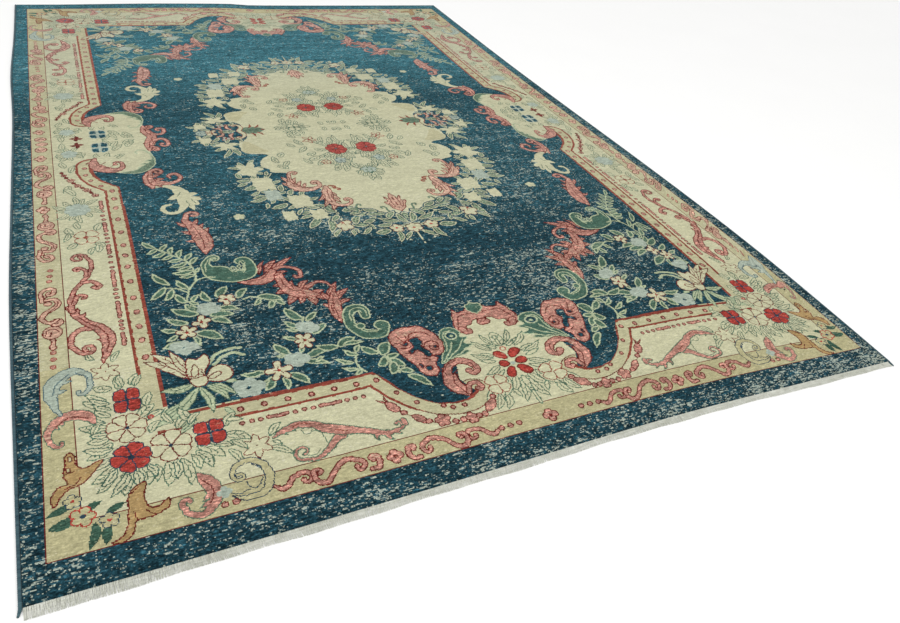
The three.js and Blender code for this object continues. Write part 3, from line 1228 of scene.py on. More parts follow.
@dataclass
class FieldScrolls:
    """The chain of green C-scrolls and pink acanthus that climbs from the near cartouche."""

    def green(self) -> list[Motif]:
        """The two green C-scrolls.

        Returns:
            The motifs, in the order in which they are drawn.
        """
        return [
            Scroll(
                GREENERY,
                ((43.2, 88.0), (42.1, 85.6), (42.6, 82.6), (45.0, 80.4), (48.6, 78.6), (51.6, 79.0),
                 (52.7, 82.0), (52.4, 84.8)),
                (1.5, 2.4, 3.4, 6.6, 6.0, 4.8, 3.8, 3.0, 2.2), tail=-1.45, head=1.5, turns=0.75,
                lobes=((0.5, 1, 4.0, 0.6), (0.56, 1, 3.6, 0.9)),
            ),
            Veins(
                GREENERY,
                (((41.6, 82.0), (42.0, 85.0), (43.0, 87.4)), ((47.2, 82.6), (48.0, 80.4)),
                 ((48.6, 80.2), (49.6, 81.4)), ((50.4, 79.6), (51.4, 81.6), (50.8, 83.8))),
                0.34,
            ),
            *(
                Leaf(Tint(Dye.NAVY, Dye.PALE, Dye.PALE, 0.3), base, tip, width, 0.0)
                for base, tip, width in (
                    ((48.2, 82.9), (49.0, 80.4), 1.5), ((50.7, 85.0), (50.3, 80.2), 1.3),
                    ((49.6, 82.4), (50.4, 83.2), 1.2),
                )
            ),
            Scroll(
                GREENERY,
                ((74.6, 54.2), (74.8, 56.4), (73.4, 58.0), (71.4, 57.2), (70.2, 54.2), (70.4, 50.8),
                 (72.6, 47.8), (75.6, 46.9), (77.8, 48.8)),
                (2.6, 3.0, 3.2, 2.8, 2.8, 3.2, 3.6, 3.2, 2.4), head=1.5, turns=0.8,
            ),
            Veins(
                GREENERY,
                (((70.6, 53.4), (71.4, 57.0), (73.6, 58.0), (75.2, 56.4), (75.0, 54.4)),
                 ((74.2, 55.8), (73.4, 56.8), (72.2, 56.0)), ((70.8, 51.6), (72.6, 48.8), (75.2, 47.8))),
                0.34,
            ),
            Beads(GREENERY, ((72.2, 50.9),), 1.2),
        ]

    def pink(self) -> list[Motif]:
        """The acanthus leaves that run from one green scroll to the other, with their split edges.

        Returns:
            The motifs, in the order in which they are drawn.
        """
        fingers = (
            (54.0, 77.6, 56.3, 83.4, 1.5), (55.6, 78.4, 59.6, 83.2, 2.1), (57.6, 78.6, 61.0, 82.0, 1.8),
            (58.6, 79.0, 63.8, 83.4, 1.9), (56.8, 76.6, 61.2, 77.4, 1.6), (56.6, 74.6, 60.4, 75.8, 1.7),
            (59.4, 73.0, 56.2, 71.8, 1.9), (60.0, 71.0, 56.2, 68.6, 2.4), (60.8, 69.0, 58.0, 63.6, 2.5),
            (62.2, 67.6, 60.8, 63.2, 2.0), (63.4, 66.8, 64.4, 61.6, 2.3), (65.0, 66.2, 66.9, 63.2, 1.7),
            (60.4, 69.8, 61.2, 73.2, 1.6), (61.8, 69.0, 65.3, 72.4, 1.8), (63.2, 68.2, 66.0, 70.0, 1.6),
            (64.0, 66.6, 67.9, 66.9, 1.8), (68.6, 62.4, 67.2, 66.4, 1.8), (69.0, 64.0, 69.6, 67.8, 1.5),
            (69.2, 63.6, 71.9, 69.8, 1.9), (69.4, 62.2, 74.0, 66.4, 2.1), (69.2, 60.4, 73.4, 61.8, 1.7),
            (68.0, 59.8, 66.2, 61.8, 1.4),
        )
        return [
            *leaves(ROSY, fingers),
            Scroll(
                ROSY, ((56.2, 76.8), (58.6, 79.3), (61.6, 79.4), (63.9, 77.6), (64.2, 75.0)),
                (2.4, 1.6, 1.2, 1.3, 1.4), head=-1.3, turns=0.5,
            ),
            Scroll(ROSY, ((64.2, 69.6), (67.0, 71.0), (69.4, 70.0), (70.6, 67.4)), (1.8, 1.2, 1.0, 0.8)),
            Scroll(ROSY, ((48.4, 75.6), (52.6, 74.8), (56.0, 75.8), (57.4, 78.2)), (0.6, 2.6, 3.8, 2.6)),
            Scroll(
                ROSY, ((58.6, 76.4), (58.8, 72.8), (60.0, 69.4), (62.6, 67.0), (66.2, 65.6)),
                (2.4, 2.8, 4.2, 4.0, 1.2),
            ),
            Scroll(ROSY, ((68.2, 53.4), (68.3, 57.4), (68.9, 61.2), (69.8, 65.2)), (0.5, 3.2, 3.4, 1.6)),
            Veins(
                ROSY,
                (((50.6, 75.2), (54.2, 75.8), (56.2, 77.8), (57.8, 80.4)), ((55.2, 77.6), (56.0, 80.6)),
                 ((57.4, 76.0), (58.8, 76.6)), ((58.8, 75.4), (58.9, 72.4), (60.2, 69.4), (62.8, 66.8)),
                 ((60.6, 71.2), (60.8, 69.2)), ((62.4, 69.0), (62.8, 67.0)), ((61.2, 66.4), (63.8, 64.8)),
                 ((68.3, 55.4), (68.4, 60.0), (69.4, 64.6)), ((67.6, 57.4), (67.8, 60.6))),
            ),
        ]

    def draw(self, chart: Chart) -> None:
        """Draws the green scrolls over the ends of the pink leaves."""
        draw_all(chart, (*self.pink(), *self.green()))


@dataclass
class CornerSprays:
    """The lily, reeds, leaves and small flowers in the corner of the field."""

    def foliage(self) -> list[Motif]:
        """The leaves, as rows of base, tip and width, and their stems.

        Returns:
            The motifs, in the order in which they are drawn.
        """
        frond = (
            (31.0, 95.8, 28.4, 99.6, 1.7), (31.6, 95.4, 28.8, 93.4, 1.6), (32.4, 94.2, 34.2, 97.0, 1.5),
            (33.2, 93.4, 30.0, 91.6, 1.7), (34.4, 92.2, 35.4, 95.4, 1.5), (35.0, 91.4, 32.0, 90.2, 1.5),
            (36.2, 90.2, 37.4, 93.6, 1.6), (36.8, 89.2, 33.4, 88.8, 1.6), (37.8, 88.4, 39.7, 91.6, 1.6),
            (37.8, 87.4, 33.4, 86.2, 1.8), (38.6, 86.4, 40.8, 89.2, 1.6), (38.6, 85.2, 35.0, 84.6, 1.6),
            (39.0, 83.4, 33.6, 83.4, 1.9), (38.8, 81.6, 35.2, 81.4, 1.6), (39.0, 82.2, 40.6, 84.4, 1.2),
        )
        rows = (
            (32.4, 78.6, 29.0, 84.4, 2.0), (31.2, 77.9, 27.3, 73.6, 2.1), (32.7, 76.8, 30.5, 72.4, 1.9),
            (36.6, 75.8, 34.1, 80.2, 1.8), (35.2, 70.4, 33.2, 74.4, 2.0), (36.4, 70.6, 38.4, 73.0, 1.5),
            (40.4, 69.8, 39.2, 74.2, 2.0), (42.6, 70.6, 45.2, 74.7, 2.5), (46.8, 69.4, 49.8, 72.7, 2.2),
            (37.8, 69.2, 35.6, 71.0, 1.4), (37.2, 65.4, 31.4, 68.9, 2.7), (38.0, 66.4, 34.6, 69.9, 2.2),
            (34.2, 62.5, 29.9, 65.3, 2.1), (31.6, 60.4, 28.2, 61.8, 1.7), (31.4, 58.8, 28.8, 57.4, 1.5),
            (41.6, 66.6, 46.4, 65.0, 2.1), (39.4, 64.2, 44.9, 63.4, 2.4), (39.4, 62.9, 43.7, 60.2, 2.1),
            (35.4, 58.6, 40.8, 55.1, 2.9), (31.6, 56.6, 27.8, 55.2, 2.0), (34.6, 57.8, 35.6, 54.0, 1.4),
            (51.4, 68.6, 57.2, 65.8, 2.6), (54.6, 66.4, 53.2, 63.4, 1.8), (51.8, 67.8, 50.2, 65.4, 1.5),
            (55.4, 66.2, 57.0, 63.8, 1.6), (59.6, 57.0, 56.6, 62.3, 2.7), (60.4, 56.2, 63.7, 58.9, 1.9),
            (58.2, 54.6, 55.2, 57.3, 1.9), (57.6, 53.2, 55.0, 54.6, 1.3), (60.6, 51.2, 64.4, 53.9, 2.5),
            (56.8, 50.2, 53.8, 52.2, 1.5), (53.8, 45.5, 51.0, 50.2, 2.3), (56.2, 45.4, 57.4, 48.0, 1.4),
            (56.8, 43.6, 62.4, 45.0, 2.3), (64.9, 45.1, 59.9, 46.8, 2.3), (64.9, 45.2, 69.4, 47.4, 2.5),
            (66.0, 45.4, 71.2, 45.2, 1.6), (55.8, 42.4, 61.4, 40.2, 1.9), (58.6, 41.6, 60.8, 42.8, 1.2),
            (47.2, 41.6, 41.9, 42.0, 1.9), (52.8, 45.2, 50.6, 46.0, 1.1), (48.2, 39.6, 46.0, 35.8, 2.1),
            (50.4, 38.8, 50.6, 34.8, 1.6), (51.8, 39.5, 55.4, 35.4, 2.3), (47.4, 38.8, 45.4, 38.2, 1.2),
            (66.6, 38.8, 62.6, 41.2, 1.5), (66.8, 36.6, 63.4, 37.8, 1.3), (67.6, 36.4, 65.6, 34.9, 1.3),
            (68.2, 41.0, 65.4, 43.8, 1.5), (68.2, 42.0, 69.6, 44.6, 1.4), (72.8, 40.4, 69.8, 43.8, 2.3),
            (73.6, 39.6, 76.6, 43.4, 3.0), (74.0, 38.6, 71.4, 36.0, 2.2), (74.4, 38.2, 77.4, 38.8, 1.8),
            (74.6, 37.6, 77.2, 34.4, 2.2), (75.2, 36.6, 73.4, 32.8, 2.4), (76.6, 31.6, 80.8, 26.8, 2.2),
            (75.8, 33.6, 78.6, 32.2, 1.9),
        )
        stems = (
            ((28.6, 99.2), (31.4, 95.4), (35.2, 91.2), (38.0, 87.4), (39.0, 82.4), (38.6, 79.2)),
            ((35.2, 70.6), (36.4, 75.0), (38.4, 78.4), (40.4, 79.7), (43.2, 79.3)),
            ((30.8, 77.6), (33.4, 76.9), (36.2, 74.6)), ((48.2, 68.5), (50.4, 68.9), (54.4, 66.8)),
            ((60.0, 57.8), (59.0, 54.8)), ((56.6, 49.8), (53.6, 51.6)), ((58.0, 44.6), (64.4, 45.2)),
            ((68.2, 35.2), (67.0, 37.6), (67.8, 41.6), (69.4, 44.2)),
            ((75.4, 32.8), (74.4, 36.8), (74.2, 40.4)),
        )
        threads = [Thread(GREENERY, points, 0.5) for points in stems]
        return [*threads, *leaves(SPRAY, (*frond, *rows))]

    def flowers(self) -> list[Motif]:
        """The cream and the grey-blue blossoms, no two alike.

        Returns:
            The motifs, in the order in which they are drawn.
        """
        cream = (
            ((44.2, 69.6),
             ((43.4, 70.8, 0.95), (45.2, 70.4, 0.9), (45.8, 69.0, 0.8), (44.0, 68.0, 0.85),
              (43.0, 69.4, 0.8))),
            ((37.2, 62.2), ((37.3, 64.0, 0.95), (38.7, 62.6, 0.9), (37.4, 60.9, 1.0), (35.8, 62.0, 0.9))),
            ((33.4, 59.4),
             ((33.4, 61.2, 0.95), (35.0, 60.2, 0.85), (34.6, 58.2, 0.95), (32.6, 58.0, 0.8),
              (31.8, 59.8, 0.85))),
            ((58.0, 49.6),
             ((57.2, 51.2, 0.9), (59.2, 51.0, 0.95), (59.8, 49.0, 0.8), (58.6, 47.4, 0.85),
              (56.8, 47.6, 0.85), (56.4, 49.4, 0.8))),
            ((50.0, 41.2),
             ((50.0, 43.4, 0.95), (52.1, 41.4, 1.0), (51.4, 39.0, 0.9), (48.8, 38.9, 0.9),
              (47.9, 41.3, 1.0))),
        )
        misty = (
            ((38.6, 67.8, 1.5), (40.4, 68.2, 1.4), (40.8, 66.4, 1.4), (39.0, 65.8, 1.5), (37.8, 66.6, 1.1)),
            ((30.6, 55.0, 1.4), (32.4, 55.6, 1.3), (33.8, 54.2, 1.4), (32.2, 53.0, 1.5), (30.8, 53.4, 1.1)),
            ((58.8, 54.8, 1.2), (60.6, 54.8, 1.3), (61.2, 53.2, 1.1), (59.8, 52.4, 1.2), (58.6, 53.4, 1.2)),
            ((53.4, 44.4, 1.2), (55.2, 44.8, 1.3), (56.2, 43.4, 1.1), (54.8, 42.2, 1.4), (53.2, 42.4, 1.2),
             (52.4, 43.2, 0.8)),
            ((41.2, 38.8, 1.6), (43.4, 39.4, 1.6), (44.8, 37.8, 1.4), (43.6, 36.2, 1.6), (41.4, 36.2, 1.5),
             (40.4, 37.4, 1.3)),
        )
        parted = Tint(Dye.CREAM, Dye.MAROON, Dye.RED, 0.24)
        return [
            *(
                Posy(
                    MISTY,
                    [(x, y, radius * (0.86 if index else 1.0)) for index,
                     (x, y, radius) in enumerate(spots)],
                )
                for spots in misty
            ),
            *(Beads(MISTY, (spots[0][:2], spots[2][:2]), 1.5) for spots in misty),
            *(Posy(parted, spots, heart) for heart, spots in cream),
        ]

    def lily(self) -> list[Motif]:
        """The cream lily that leans over the frame, with the reeds that fan out below it.

        Returns:
            The motifs, in the order in which they are drawn.
        """
        cream = Tint(Dye.CREAM, Dye.MAROON, Dye.MAROON, 0.24)
        reeds = leaves(
            REEDS,
            ((33.0, 41.0, 22.8, 31.4, 2.6), (32.4, 41.8, 25.6, 41.6, 2.2), (33.0, 41.0, 34.6, 32.4, 2.0),
             (34.6, 41.0, 38.4, 35.2, 1.8), (35.4, 41.2, 40.0, 36.6, 1.6), (28.4, 37.0, 24.6, 34.6, 1.6),
             (38.6, 41.0, 41.0, 40.6, 1.4), (30.6, 32.4, 27.2, 28.8, 1.6), (36.8, 33.4, 38.2, 30.6, 1.3)),
        )
        return [
            *reeds,
            Thread(
                Tint(Dye.PALE, Dye.PALE, Dye.PALE),
                ((36.2, 47.6), (38.4, 50.2), (41.2, 51.2), (43.6, 51.0)), 0.8,
            ),
            Thread(
                Tint(Dye.PALE, Dye.PALE, Dye.PALE),
                ((37.2, 46.8), (39.6, 49.2), (42.2, 49.6), (44.0, 48.4)), 0.8,
            ),
            *(
                Leaf(cream, base, tip, width, bend)
                for base, tip, width, bend in (
                    ((31.6, 44.0), (23.4, 51.6), 3.0, -0.1), ((32.4, 44.2), (25.0, 54.2), 2.6, -0.05),
                    ((32.8, 44.2), (28.8, 54.2), 2.4, 0.02),
                )
            ),
            Patch(
                cream,
                ((31.6, 44.0), (31.4, 47.4), (32.2, 50.4), (34.0, 49.6), (35.8, 50.9), (36.6, 48.8),
                 (35.4, 46.0), (34.4, 43.8)),
            ),
            Patch(
                cream,
                ((34.8, 42.6), (36.2, 45.6), (38.6, 46.6), (40.4, 45.0), (40.2, 42.4), (38.2, 41.2),
                 (36.2, 41.8)),
            ),
            Patch(
                cream, ((31.6, 43.4), (32.4, 41.4), (34.0, 40.9), (35.2, 42.0), (35.0, 43.6), (33.2, 43.8)),
            ),
            Patch(cream, ((35.2, 43.0), (36.8, 44.4), (38.3, 44.0), (36.8, 42.8))),
            Veins(
                cream,
                (((32.3, 44.4), (32.4, 46.6), (33.2, 48.0), (33.8, 46.4), (33.6, 44.2)),
                 ((34.6, 44.6), (34.4, 46.2)),
                 ((30.4, 44.0), (31.4, 44.8), (32.6, 44.2), (33.6, 44.8), (34.8, 44.0)),
                 ((31.2, 43.6), (31.6, 45.4))),
            ),
        ]

    def draw(self, chart: Chart) -> None:
        """Draws leaves, then the flowers on them, then the lily."""
        draw_all(chart, (*self.foliage(), *self.flowers(), *self.lily()))


@dataclass
class NearBorder:
    """The scroll and the star flower in the near main border."""

    def draw(self, chart: Chart) -> None:
        """Draws the pale leaves, the flower and the scroll.

        Args:
            chart: what it is drawn on.
        """
        green_edge = Tint(Dye.PINK, Dye.SAGE, Dye.MAROON)
        draw_all(
            chart,
            (
                *leaves(
                    SKETCHED,
                    ((43.6, 23.2, 46.6, 26.0, 1.8), (42.8, 20.2, 47.0, 17.0, 1.7),
                     (43.8, 21.6, 45.4, 20.0, 1.0)),
                ),
                *(
                    Thread(SKETCHED, line, 0.22)
                    for line in (
                        ((50.0, 22.8), (50.3, 21.5), (51.3, 21.2), (52.0, 22.0)),
                        ((51.9, 21.7), (53.0, 21.2), (53.8, 19.9), (53.8, 17.8)),
                        ((49.6, 15.6), (51.0, 15.6), (52.2, 16.6)),
                    )
                ),
                Scroll(
                    green_edge, ((57.4, 18.9), (55.2, 17.6), (53.4, 15.7), (50.8, 14.5), (48.4, 14.9)),
                    (2.4, 1.9, 1.6, 1.2, 1.1), head=-1.95, turns=0.95,
                    lobes=((0.3, 1, 1.3, 0.4), (0.5, 1, 1.0, 0.5)),
                ),
                Scroll(
                    green_edge,
                    ((44.2, 22.2), (46.6, 23.5), (49.6, 24.2), (52.6, 23.3), (55.4, 21.2), (58.6, 19.8),
                     (61.8, 18.7), (64.6, 17.1), (67.2, 16.4), (69.4, 16.9)),
                    (0.7, 2.0, 2.1, 2.1, 2.9, 3.0, 2.0, 1.9, 1.5, 1.2), head=1.35, turns=0.55,
                    lobes=(
                        (0.09, -1, 1.5, 0.2), (0.16, -1, 1.7, 0.2), (0.23, -1, 1.6, 0.3),
                        (0.3, -1, 1.3, 0.3), (0.62, 1, 1.6, 0.6), (0.8, -1, 2.6, 0.4), (0.88, -1, 2.6, 0.5),
                        (0.95, -1, 1.8, 0.4),
                    ),
                ),
                Beads(Tint(Dye.PINK, Dye.SAGE, Dye.SAGE), ((70.7, 18.3),), 0.75, 1.7),
                Veins(
                    Tint(Dye.BRICK, Dye.BRICK, Dye.BRICK),
                    (((48.4, 23.9), (50.4, 24.4), (52.2, 23.6)), ((56.4, 20.6), (58.6, 19.6))),
                ),
                Blossom(STAR, (40.7, 21.2), 3.2, 6, 90.0, Petal.NARROW),
            ),
        )


@dataclass
class CornerBouquet:
    """The bouquet, hooks and ribbons that fill the near corner of the borders."""

    def foliage(self) -> list[Motif]:
        """The pale outlined leaves that spread from the big flowers.

        Returns:
            The motifs, in the order in which they are drawn.
        """
        pale = leaves(
            SKETCHED,
            ((15.0, 40.4, 11.0, 43.2, 2.0), (15.6, 37.4, 13.0, 40.0, 1.8), (15.2, 34.6, 9.8, 36.0, 2.2),
             (14.8, 31.6, 11.0, 31.6, 2.0), (15.4, 30.2, 10.6, 27.0, 2.4), (15.2, 24.4, 11.2, 21.0, 2.2),
             (14.6, 22.4, 12.0, 18.6, 1.8), (16.6, 22.0, 16.2, 16.6, 2.2), (19.6, 22.6, 20.6, 18.0, 2.6),
             (24.4, 22.4, 23.6, 16.6, 2.6), (26.8, 22.4, 27.6, 15.4, 2.2), (30.0, 24.6, 34.6, 20.4, 2.6),
             (29.6, 23.4, 32.0, 18.6, 2.2), (35.6, 26.2, 40.0, 23.4, 2.2), (36.0, 28.2, 38.6, 31.6, 2.0),
             (20.6, 35.4, 24.0, 38.6, 2.4), (27.0, 30.4, 30.0, 33.4, 2.0), (22.4, 38.4, 23.6, 42.4, 2.0),
             (16.6, 45.4, 13.2, 46.6, 2.2), (35.4, 22.0, 37.4, 17.8, 1.8), (31.0, 31.4, 28.0, 36.0, 2.2),
             (12.0, 33.0, 13.8, 36.4, 1.6), (15.4, 42.2, 11.4, 45.0, 1.8), (16.0, 39.2, 12.6, 41.8, 1.6),
             (18.6, 45.2, 18.2, 49.4, 1.6), (20.8, 45.0, 22.4, 48.0, 1.6), (22.2, 30.8, 24.4, 33.6, 1.8),
             (28.8, 22.8, 29.8, 18.6, 1.8), (22.2, 22.4, 22.0, 18.2, 1.6), (36.2, 24.2, 39.0, 21.0, 1.6),
             (33.0, 23.8, 36.6, 22.8, 1.6), (36.4, 29.6, 39.8, 29.2, 1.4), (26.6, 32.0, 25.2, 36.2, 1.6)),
        )
        dark = leaves(
            ETCHED,
            ((15.4, 28.6, 10.2, 29.8, 2.0), (15.0, 26.6, 10.8, 24.4, 1.9), (15.6, 23.4, 12.8, 20.2, 1.8),
             (17.6, 22.4, 14.0, 17.2, 1.9), (18.6, 22.0, 18.8, 17.6, 1.9), (20.8, 23.0, 22.0, 19.4, 1.6),
             (15.0, 32.8, 11.6, 33.2, 1.7), (14.6, 36.0, 11.2, 38.2, 1.6), (15.8, 41.0, 12.2, 43.4, 1.7),
             (22.0, 34.4, 25.6, 36.4, 1.8), (29.2, 30.8, 32.0, 33.6, 1.6), (25.8, 22.6, 25.4, 17.6, 1.8)),
        )
        return pale + dark

    def hooks(self) -> list[Motif]:
        """The pink, slate and khaki hooks.

        Returns:
            The motifs, in the order in which they are drawn.
        """
        pink = Tint(Dye.PINK, Dye.SAGE, Dye.MAROON, 0.22)
        return [
            Scroll(
                pink,
                ((12.8, 36.4), (11.4, 39.0), (8.8, 39.9), (6.2, 39.0), (4.7, 36.8), (4.6, 34.2),
                 (5.6, 32.4)),
                (0.8, 2.8, 3.0, 2.4, 1.8, 1.4, 1.2), head=1.1, turns=0.45,
                lobes=((0.5, 1, 2.4, 0.3), (0.62, 1, 2.0, 0.2)),
            ),
            Scroll(
                SLATY,
                ((6.9, 40.6), (5.8, 43.8), (5.4, 47.6), (6.8, 51.2), (9.8, 52.9), (12.2, 51.2),
                 (12.7, 48.0), (12.0, 45.9)),
                (0.8, 1.7, 2.9, 3.6, 2.9, 1.7, 1.3, 1.2), head=-1.3, turns=0.45,
                lobes=((0.3, -1, 3.2, 0.1), (0.44, -1, 3.4, 0.3)),
            ),
            Veins(
                SLATY,
                (((5.6, 46.6), (6.6, 50.0), (9.0, 52.2)), ((10.2, 52.4), (12.1, 50.4), (12.0, 47.4))),
            ),
            Scroll(
                STRAW,
                ((34.8, 15.4), (35.8, 17.5), (38.4, 18.1), (40.6, 16.6), (41.3, 13.8), (40.6, 11.0),
                 (38.6, 9.5), (36.0, 9.6), (33.8, 10.6)),
                (1.1, 1.3, 1.5, 1.7, 1.9, 1.8, 1.6, 1.3, 0.4), tail=1.3, turns=0.9,
            ),
            Thread(STRAW, ((40.0, 13.4), (39.2, 11.8), (37.6, 11.3), (37.0, 13.0)), 0.22),
            Thread(STRAW, ((33.4, 11.6), (35.0, 10.9), (37.2, 11.2)), 0.22),
            Thread(STRAW, ((38.6, 17.0), (40.2, 15.6), (40.4, 13.4)), 0.22),
            Scroll(
                pink,
                ((28.8, 18.0), (30.3, 15.4), (31.2, 12.6), (30.4, 9.8), (28.2, 8.3), (26.0, 9.4),
                 (25.3, 11.4)),
                (0.7, 3.0, 3.2, 2.4, 1.8, 1.6, 1.5), head=-1.2, turns=0.45,
                lobes=((0.4, -1, 3.0, 0.4), (0.52, -1, 2.8, 0.5)),
            ),
            Veins(
                pink,
                (((29.4, 16.4), (31.0, 13.0), (30.0, 10.4)), ((11.6, 38.2), (8.8, 39.4), (6.0, 37.8))),
            ),
            Blossom(MISTY, (32.8, 12.0), 1.4, 4),
            Beads(BEADED, ((32.4, 9.3), (34.3, 9.1)), 0.75),
        ]

    def ribbons(self) -> list[Motif]:
        """The two tan ribbons.

        Returns:
            The motifs, in the order in which they are drawn.
        """
        loop = Tint(Dye.KHAKI, Dye.MAROON, Dye.KHAKI, 0.2)
        return [
            Patch(
                RIBBON,
                ((7.0, 26.4), (7.2, 29.2), (8.0, 29.9), (8.8, 29.0), (8.9, 26.6), (10.4, 25.6),
                 (13.5, 26.6), (11.8, 24.2), (9.6, 21.9), (6.8, 20.8), (5.0, 17.9), (4.6, 20.2),
                 (5.8, 22.2), (7.4, 22.6), (6.7, 24.4)),
            ),
            Beads(loop, ((8.0, 28.4), (7.6, 25.9)), 0.42, 1.7),
            Veins(RIBBON, (((6.8, 21.6), (8.6, 22.0), (9.4, 23.4)), ((7.0, 25.0), (8.6, 25.2)))),
            Patch(
                RIBBON,
                ((17.2, 17.4), (20.0, 18.9), (19.5, 16.4), (19.7, 13.4), (21.6, 12.7), (23.3, 13.8),
                 (23.2, 12.0), (20.8, 11.0), (18.6, 10.7), (17.4, 10.6), (17.0, 8.4), (15.4, 7.0),
                 (13.4, 7.4), (15.4, 8.4), (16.3, 11.0), (16.6, 14.4)),
            ),
            Veins(
                RIBBON,
                (((17.4, 12.8), (17.8, 11.0)), ((19.4, 12.6), (20.6, 11.2)), ((17.2, 17.0), (18.6, 18.0))),
            ),
        ]

    def flowers(self) -> list[Motif]:
        """The big flowers and the small ones at the very corner.

        Returns:
            The motifs, in the order in which they are drawn.
        """
        outline = Tint(Dye.CREAM, Dye.MAROON, Dye.INK, 0.22)
        return [
            *leaves(
                DARK_LEAF,
                ((7.6, 18.0, 3.8, 16.2, 1.6), (8.2, 15.0, 4.0, 13.2, 2.2), (9.8, 15.6, 12.4, 16.8, 1.4),
                 (13.0, 13.8, 16.2, 15.2, 1.5), (11.2, 12.4, 10.0, 7.4, 1.7), (12.8, 11.6, 12.4, 7.4, 1.7)),
            ),
            Blossom(INKED, (7.9, 18.2), 1.7, 5),
            Blossom(INKED, (13.5, 12.4), 1.8, 5),
            Blossom(Tint(Dye.KHAKI, Dye.RED, Dye.INK, 0.3), (9.3, 14.4), 2.3, 5, 70.0),
            Blossom(outline, (25.4, 26.4), 4.1, 6, 75.0, Petal.SPLIT, heart=0.1),
            Blossom(outline, (18.2, 33.4), 3.9, 7, 60.0, Petal.SPLIT, heart=0.1),
            Quartered(POPPY, (19.0, 41.2), (5.2, 6.8)),
            Blossom(POPPY, (18.3, 25.6), 3.8, 6, 70.0, Petal.SPLIT, heart=0.16),
            Quartered(POPPY, (32.9, 27.5), (6.0, 6.6)),
            Beads(Tint(Dye.PINK, Dye.RED, Dye.RED), ((22.8, 35.0),), 0.6),
        ]

    def draw(self, chart: Chart) -> None:
        """Draws leaves, hooks and flowers."""
        draw_all(chart, (*self.foliage(), *self.hooks(), *self.ribbons(), *self.flowers()))


